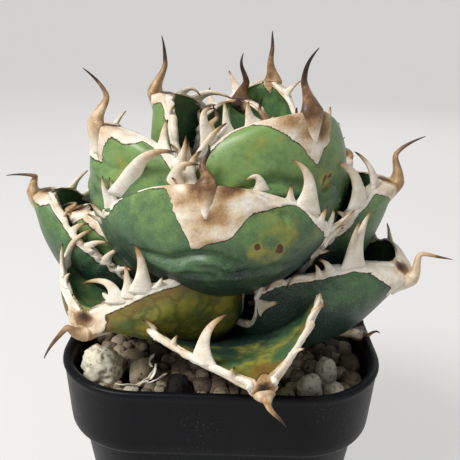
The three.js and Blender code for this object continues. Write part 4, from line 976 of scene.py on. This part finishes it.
def leaf_horn(leaf, looks):
    """Both margin ropes, every tooth and the terminal spine, as one list of points and faces."""
    parts = [margin_rope(leaf, looks, side) for side in (-1, 1)]
    parts += [tooth(leaf, looks, *entry) for entry in looks["teeth"]]
    parts.append(terminal_spine(leaf, looks))
    skins = []
    for number, (rings, brown) in enumerate(parts):
        points, faces = close_rings(rings)
        spiny = float(number == len(parts) - 1)
        numbers = {
            "brown": np.concatenate([brown.ravel(), [brown[0].mean(), brown[-1].mean()]]),
            "spiny": np.full(len(points), spiny),
        }
        skins.append((points, faces, numbers))
    return joined(skins)


def bone_colour(finish, brown):
    """Cork and horn: bone white, stained tan, then brown to nearly black as brown goes from 0 to 1."""
    cloud = finish.grain(0.0034, 4) - 0.5
    fine = finish.grain(0.0006, 3) - 0.5
    stops = [
        (0.0, (0.72, 0.675, 0.59)),
        (0.20, (0.58, 0.47, 0.34)),
        (0.42, (0.36, 0.225, 0.105)),
        (0.66, (0.125, 0.060, 0.026)),
        (0.92, (0.022, 0.013, 0.009)),
    ]
    mottled = brown + cloud * 0.55 + fine * 0.22
    return finish.node("ShaderNodeValToRGB", {"stops": stops}, {"Fac": mottled}, "Color")


waxy = Finish("waxy_leaf", specular=0.36)
run = waxy.read("run")
inner_face = waxy.read("inner_face")
age = waxy.read("age")
shade = waxy.read("shade")
scar = waxy.read("scar")
cork = waxy.read("cork") + (waxy.grain(0.0012, 3) - 0.5) * 1.1
is_cork = waxy.smooth(cork, -0.05, 0.08)
border = waxy.smooth(cork, -0.55, -0.12) * (1 - is_cork)
cloud = waxy.grain(0.011, 4)
speckle = waxy.grain(0.00045, 2)
mottle = waxy.grain(0.0026, 4, 0.65)
# Painted light and shade: the green is lighter towards the tip and darker towards the foot, deep in the
# rosette; darker on the inner face, in the leaf's hollow; and darker by each leaf's shade number. Cloud and
# mottle are the leaf's own uneven tone.
tone = waxy.smooth(run, 0.32, 1.0) * 0.86 + 0.16 - shade * 0.42 + (cloud - 0.5) * 0.95 - inner_face * 0.32
tone = tone + (mottle - 0.5) * 0.55
green = waxy.mix(waxy.smooth(tone, 0.0, 0.45), (0.007, 0.026, 0.019), (0.046, 0.104, 0.042))
green = waxy.mix(waxy.smooth(tone, 0.40, 0.95), green, (0.158, 0.262, 0.070))
film = waxy.smooth(speckle, 0.42, 0.72) * 0.20 * (1 - inner_face * 0.6)
green = waxy.mix(film, green, (0.24, 0.31, 0.21))
freckle = waxy.smooth(waxy.grain(0.0016, 2), 0.66, 0.74) * 0.45
green = waxy.mix(freckle, green, (0.035, 0.075, 0.025))
blotch = waxy.grain(0.0085, 3)
wobble = waxy.node("ShaderNodeTexNoise", {}, {"Vector": waxy.place, "Scale": 170.0, "Detail": 2.0}, "Color")
warped = waxy.node(
    "ShaderNodeVectorMath",
    {"operation": "MULTIPLY_ADD"},
    {0: wobble, 1: (0.009, 0.009, 0.009), 2: waxy.place},
)
cells = waxy.node(
    "ShaderNodeTexVoronoi",
    {"feature": "DISTANCE_TO_EDGE"},
    {"Vector": warped, "Scale": 125.0, "Randomness": 1.0},
    "Distance",
)
near_margin = waxy.smooth(cork, -6.5, -0.8)
still_green = (1 - waxy.smooth(run, 0.15, 0.7)) * 0.25 + (1 - near_margin) * inner_face * 0.35
aged = waxy.smooth(age + (blotch - 0.5) * 0.9 - still_green, 0.42, 0.78)
yellow = waxy.mix(waxy.smooth(blotch, 0.35, 0.65), (0.098, 0.140, 0.030), (0.290, 0.265, 0.042))
vein = (1 - waxy.smooth(cells, 0.0, 0.20)) * 0.55 * waxy.smooth(age, 0.62, 0.70)
yellow = waxy.mix(vein, yellow, (0.032, 0.055, 0.012))
yellow = waxy.mix(waxy.smooth(waxy.grain(0.0009, 2), 0.64, 0.72) * 0.7, yellow, (0.34, 0.27, 0.12))
browned = near_margin * waxy.smooth(age, 0.62, 0.8) * waxy.smooth(blotch, 0.2, 0.6)
yellow = waxy.mix(browned * 0.8, yellow, (0.145, 0.070, 0.020))
skin_colour = waxy.mix(aged, green, yellow)
halo = waxy.smooth(scar, 0.0, 0.35)
skin_colour = waxy.mix(halo * 0.6, skin_colour, (0.25, 0.24, 0.05))
corked_scar = waxy.smooth(scar + (speckle - 0.5) * 0.5, 0.35, 0.65)
skin_colour = waxy.mix(corked_scar, skin_colour, (0.085, 0.026, 0.012))
skin_colour = waxy.mix(border * 0.92, skin_colour, (0.040, 0.020, 0.010))
burn = waxy.read("burn")
waxy.colour(waxy.mix(is_cork, skin_colour, bone_colour(waxy, burn + 0.02 + inner_face * 0.1)))
waxy.rough(0.40 + (cloud - 0.5) * 0.12 + is_cork * 0.28 + halo * 0.15)
wrinkles = waxy.grain(0.0011, 4)
cork_height = is_cork * (0.22 + wrinkles * 0.30)
skin_height = (1 - is_cork) * speckle * 0.035
waxy.bump(cork_height + skin_height - waxy.smooth(scar, 0.3, 0.8) * 0.3, 0.001, 0.8)

horn = Finish("cork_and_horn", roughness=0.6, specular=0.4)
brown = horn.read("brown")
spiny = horn.read("spiny")
horn.colour(bone_colour(horn, brown))
horn_grain = horn.grain(0.0009, 4)
horn.rough(0.70 - spiny * 0.24 + (horn_grain - 0.5) * 0.2)
horn.bump(horn_grain * (0.16 - spiny * 0.10) + horn.grain(0.0028, 3) * 0.25, 0.001, 0.8)


def grown(shape, seed):
    """A leaf with its own seed and the length of its middle line."""
    leaf = {**shape, "seed": seed}
    midline = leaf_axes(leaf, np.linspace(0, 1, 200))[0]
    leaf["length"] = np.linalg.norm(np.diff(midline, axis=0), axis=1).sum()
    return leaf


for number, (shape, own_looks) in enumerate(zip(LEAVES, LOOKS), 1):
    leaf = grown(shape, number)
    looks = {**PLAIN_LOOKS, **own_looks}
    looks["teeth"] = looks["teeth"] or usual_teeth(leaf)
    points, faces, numbers = leaf_body(leaf, looks)
    blade = new_mesh(f"leaf_blade_{number:02d}", points, faces)
    # Each leaf's shade number darkens its green: partly its own tone, partly painted shade.
    numbers["shade"] = np.full(len(points), looks["shade"])
    store(blade, numbers)
    blade.data.materials.append(waxy.material)
    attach(blade, "root")
    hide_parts(f"leaf_{number:02d}")
    points, faces, numbers = leaf_horn(leaf, looks)
    armour = new_mesh(f"leaf_horn_{number:02d}", points, faces)
    store(armour, numbers)
    armour.data.materials.append(horn.material)
    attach(armour, "root")
    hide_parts(f"leaf_{number:02d}")

# ---- Centre bud ----
# The tight cone of unopened leaves: pale green, smooth, ending in young horn.
# It grew out of the top of the stem.
bud = frame["nodes"]["centre_bud"]
young = Finish("young_leaf", roughness=0.4)
young.colour(young.mix(young.grain(0.004, 3), (0.05, 0.12, 0.05), (0.16, 0.25, 0.09)))
young.bump(young.grain(0.0006, 2), 0.00006)
bud.data.materials.clear()
bud.data.materials.append(young.material)

# ---- Dried margin strip ----
# A shed margin, dry and bone white, that lies from the front lip back over the gravel.
# The route follows the CAD piece's: x, distance in front of the axis, and height above the lip.
LIP_TOP = 0.095
DRIED_MARGIN_ROUTE = np.array([
    (-0.0315, 0.0496, 0.0011),
    (-0.0285, 0.0470, -0.0008),
    (-0.0255, 0.0435, -0.0026),
    (-0.0230, 0.0395, -0.0034),
    (-0.0218, 0.0350, -0.0036),
    (-0.0216, 0.0305, -0.0032),
])


def strand(route, radius, seed):
    """A thin twisted strip along a smooth route: a flat oval whose width wanders, thin at both ends."""
    share = np.linspace(0, 1, 70)
    knots = np.linspace(0, 1, len(route))
    blend = np.polynomial.polynomial.polyfit(knots, route, min(4, len(route) - 1))
    centre = np.polynomial.polynomial.polyval(share, blend).T
    wander = 0.0007 * np.stack([lattice_noise(centre, 0.004, seed + k) for k in range(3)], axis=-1)
    centre = centre + wander
    heading = unit(np.gradient(centre, axis=0))
    level = unit(np.cross(heading, np.array([0.0, 0.0, 1.0])))
    upright = np.cross(level, heading)
    twist = 3.0 * share + 1.2 * lattice_noise(centre, 0.006, seed + 5)
    first = level * np.cos(twist)[:, None] + upright * np.sin(twist)[:, None]
    second = upright * np.cos(twist)[:, None] - level * np.sin(twist)[:, None]
    ends = np.minimum(1, 0.15 + 6 * share * (1 - share))
    wide = radius * ends * (1.3 + 0.7 * lattice_noise(centre, 0.003, seed + 7))
    thick = radius * ends * 0.6
    rings = ellipse_rings(centre, first, second, wide, thick, 10)
    points, faces = close_rings(rings)
    return points, faces, {"brown": np.full(len(points), 0.03), "spiny": np.zeros(len(points))}


route = DRIED_MARGIN_ROUTE * np.array([1, -1, 1]) + np.array([0, 0, LIP_TOP])
side_branches = [
    np.array([
        (-0.0225, -0.0440, 0.0925), (-0.0200, -0.0415, 0.0925),
        (-0.0185, -0.0385, 0.0920), (-0.0171, -0.0364, 0.0915),
    ]),
    np.array([(-0.0258, -0.0440, 0.0920), (-0.0240, -0.0440, 0.0932), (-0.0222, -0.0438, 0.0928)]),
    np.array([(-0.0231, -0.0400, 0.0915), (-0.0215, -0.0375, 0.0925), (-0.0212, -0.0350, 0.0940)]),
    np.array([(-0.0222, -0.0330, 0.0914), (-0.0236, -0.0305, 0.0922), (-0.0228, -0.0285, 0.0935)]),
]
strands = [strand(route, 0.0006, 61)]
strands += [strand(branch, 0.0004, 71 + k) for k, branch in enumerate(side_branches)]
points, faces, numbers = joined(strands)
strip = new_mesh("dried_margin", points, faces)
store(strip, numbers)
strip.data.materials.append(horn.material)
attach(strip, "root")
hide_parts("dried_margin_strip")

# ---- Withered leaf ----
# An old leaf that dried thin and brown under the right-hand leaves, with a curled grey margin.
# It still holds on to the foot of the stem.
WITHERED = leaf_shape(-14, 0.004, 0.052, 0.0145, 0, 2, 0.009, 45, spine=(0.007, 0, 0),
                      neck=0.5, thickness=0.0016)


def crumpled(points):
    """Points pushed about by smooth noise along X, Y and Z."""
    return points + 0.0007 * np.stack([lattice_noise(points, 0.006, 45 + k) for k in range(3)], axis=-1)


leaf = grown(WITHERED, 40)
looks = {**PLAIN_LOOKS, "margin": 1.5, "cap": [(-6, 1), (0, 4), (6, 1)], "kink": 0.8, "dark": 0.0}
looks["teeth"] = usual_teeth(leaf)
points, faces, numbers = leaf_body(leaf, looks)
withered = new_mesh("withered_blade", crumpled(points), faces)
store(withered, numbers)
dry = Finish("dry_leaf", roughness=0.8, specular=0.3)
dry_streak = dry.grain(0.003, 4)
dry_skin = dry.mix(dry_streak, (0.022, 0.014, 0.010), (0.13, 0.085, 0.05))
dry.colour(dry.mix(dry.smooth(dry.read("cork"), -0.3, 0.3), dry_skin, (0.42, 0.37, 0.30)))
dry.bump(dry_streak, 0.0008)
withered.data.materials.append(dry.material)
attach(withered, "root")
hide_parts("dried_leaf")
points, faces, numbers = leaf_horn(leaf, looks)
numbers["brown"] = numbers["brown"] + 0.12
withered_margin = new_mesh("withered_margin", crumpled(points), faces)
store(withered_margin, numbers)
withered_margin.data.materials.append(horn.material)
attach(withered_margin, "root")
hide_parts("dried_leaf")

# ---- Top dressing ----
# Loose stones laid by hand over the mix: rough pale pumice, smoother brown gravel and one piece of
# black lava, with small gravel between them. They only rest on each other.
STONE_TURNS = 56
STONE_RINGS = 34


def stone_surface(low, high, seed, rough, turns, rings):
    """A pebble in its box: a ball whose radius swells and dents with smooth noise, squared up a little
    towards the box's corners. Roughness adds small pits and lumps."""
    centre, half = (low + high) / 2, (high - low) / 2
    angle = np.arange(turns) / turns * 2 * np.pi
    tilt = (np.arange(rings) + 0.5) / rings * np.pi
    tilt, angle = np.meshgrid(tilt, angle, indexing="ij")
    ball = np.stack([np.sin(tilt) * np.cos(angle), np.sin(tilt) * np.sin(angle), np.cos(tilt)], axis=-1)
    squared = ball / np.maximum(np.sum(np.abs(ball) ** 2.6, axis=-1, keepdims=True), 1e-9) ** (1 / 2.6)
    big = 0.13 * lattice_noise(ball, 0.9, seed) + 0.08 * lattice_noise(ball, 0.45, seed + 1)
    lumps = 0.055 * lattice_noise(ball, 0.22, seed + 2)
    small = rough * (lumps + 0.035 * lattice_noise(ball, 0.11, seed + 3))
    pits = -rough * 0.10 * np.clip(lattice_noise(ball, 0.16, seed + 4) - 0.45, 0, 1)
    return centre + squared * half * (1.0 + big + small + pits)[..., None]


def stone_finish(name, dark, middle, light, pit_size):
    """Stone: three tones in clouds and specks, painted shade in the pores, rough all over; the tint shifts
    each stone.
    """
    finish = Finish(name, roughness=0.9, specular=0.25)
    clouds = finish.grain(0.0035, 4)
    specks = finish.grain(0.0005, 3)
    pores = finish.smooth(finish.grain(pit_size, 2), 0.28, 0.42)
    tint = finish.read("tint")
    share = clouds * 0.5 + specks * 0.3 + tint * 0.6 - 0.25
    body = finish.mix(finish.smooth(share, 0.1, 0.5), dark, middle)
    body = finish.mix(finish.smooth(share, 0.45, 0.9), body, light)
    # Painted shade: the pits, which the bump sinks, take the dark tone.
    finish.colour(finish.mix(pores, dark, body))
    finish.bump(pores * 0.5 + specks * 0.25 + clouds * 0.3, 0.0005)
    return finish.material


# Each kind of stone: its dark, middle and light tone, and the size of its pores.
STONE_TONES = {
    "pale_pumice": ((0.30, 0.28, 0.21), (0.60, 0.56, 0.45), (0.80, 0.75, 0.61), 0.0011),
    "brown_gravel": ((0.080, 0.058, 0.040), (0.30, 0.245, 0.175), (0.56, 0.48, 0.35), 0.0014),
    "dark_lava": ((0.004, 0.0035, 0.003), (0.014, 0.011, 0.009), (0.045, 0.030, 0.022), 0.0012),
}
STONE_ROUGHNESS = {"pale_pumice": 1.0, "brown_gravel": 0.35, "dark_lava": 1.4}
LUMP_ROUGHNESS = 2.0
stone_materials = {kind: stone_finish(kind, *tones) for kind, tones in STONE_TONES.items()}
slot_of = {entry["node"]: entry["material_slot"] for entry in frame["record"]["subparts"]}
stone_nodes = sorted(name for name in frame["nodes"] if name.startswith("stone_"))
footprints = []
for seed, name in enumerate(stone_nodes, 100):
    low, high = (np.array(corner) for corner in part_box(name))
    footprints.append((*((low + high) / 2)[:2], (high - low)[:2].mean() / 2))
    rough = LUMP_ROUGHNESS if name == "stone_lump" else STONE_ROUGHNESS[slot_of[name]]
    rings = stone_surface(low, high, seed, rough, STONE_TURNS, STONE_RINGS)
    stone = new_mesh(f"pebble_{name[6:]}", *close_rings(rings))
    store(stone, {"tint": np.full(len(stone.data.vertices), np.random.default_rng(seed).random())})
    stone.data.materials.append(stone_materials[slot_of[name]])
    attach(stone, "root")
    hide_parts(name)

GRAVEL_STEP = 0.0047
GRAVEL_SIZE = 0.0026
GRAVEL_SHIFT = 0.0016
BED_HALF = 0.0478
BED_CORNER = 0.024
draw = np.random.default_rng(7)
gravel = []
for layer_height, share_kept in ((MIX_TOP + 0.0010, 1.0), (MIX_TOP + 0.0032, 0.8)):
    steps = np.arange(-BED_HALF, BED_HALF, GRAVEL_STEP)
    across, deep = np.meshgrid(steps, steps)
    shifts = draw.uniform(-GRAVEL_SHIFT, GRAVEL_SHIFT, (across.size, 2))
    spots = np.stack([across.ravel(), deep.ravel()], axis=-1) + shifts
    corner = np.maximum(np.abs(spots) - (BED_HALF - BED_CORNER), 0)
    inside = np.hypot(corner[:, 0], corner[:, 1]) < BED_CORNER - 0.001
    clear = np.hypot(spots[:, 0], spots[:, 1]) > STEM_RADIUS + 0.003
    for x, y, radius in footprints:
        clear &= np.hypot(spots[:, 0] - x, spots[:, 1] - y) > radius * 0.85 + 0.0012
    kept = spots[inside & clear & (draw.random(len(spots)) < share_kept)]
    for x, y in kept:
        size = GRAVEL_SIZE * draw.uniform(0.6, 1.25)
        half = size * np.array([draw.uniform(0.8, 1.25), draw.uniform(0.8, 1.25), 0.85])
        middle = np.array([x, y, layer_height + draw.uniform(-0.0006, 0.0012)])
        rings = stone_surface(middle - half, middle + half, int(draw.integers(1000)), 0.0, 10, 6)
        points, faces = close_rings(rings)
        gravel.append((points, faces, {"tint": np.full(len(points), draw.random())}))
points, faces, numbers = joined(gravel)
small_gravel = new_mesh("small_gravel", points, faces)
store(small_gravel, numbers)
small_gravel.data.materials.append(stone_materials["brown_gravel"])
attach(small_gravel, "root")
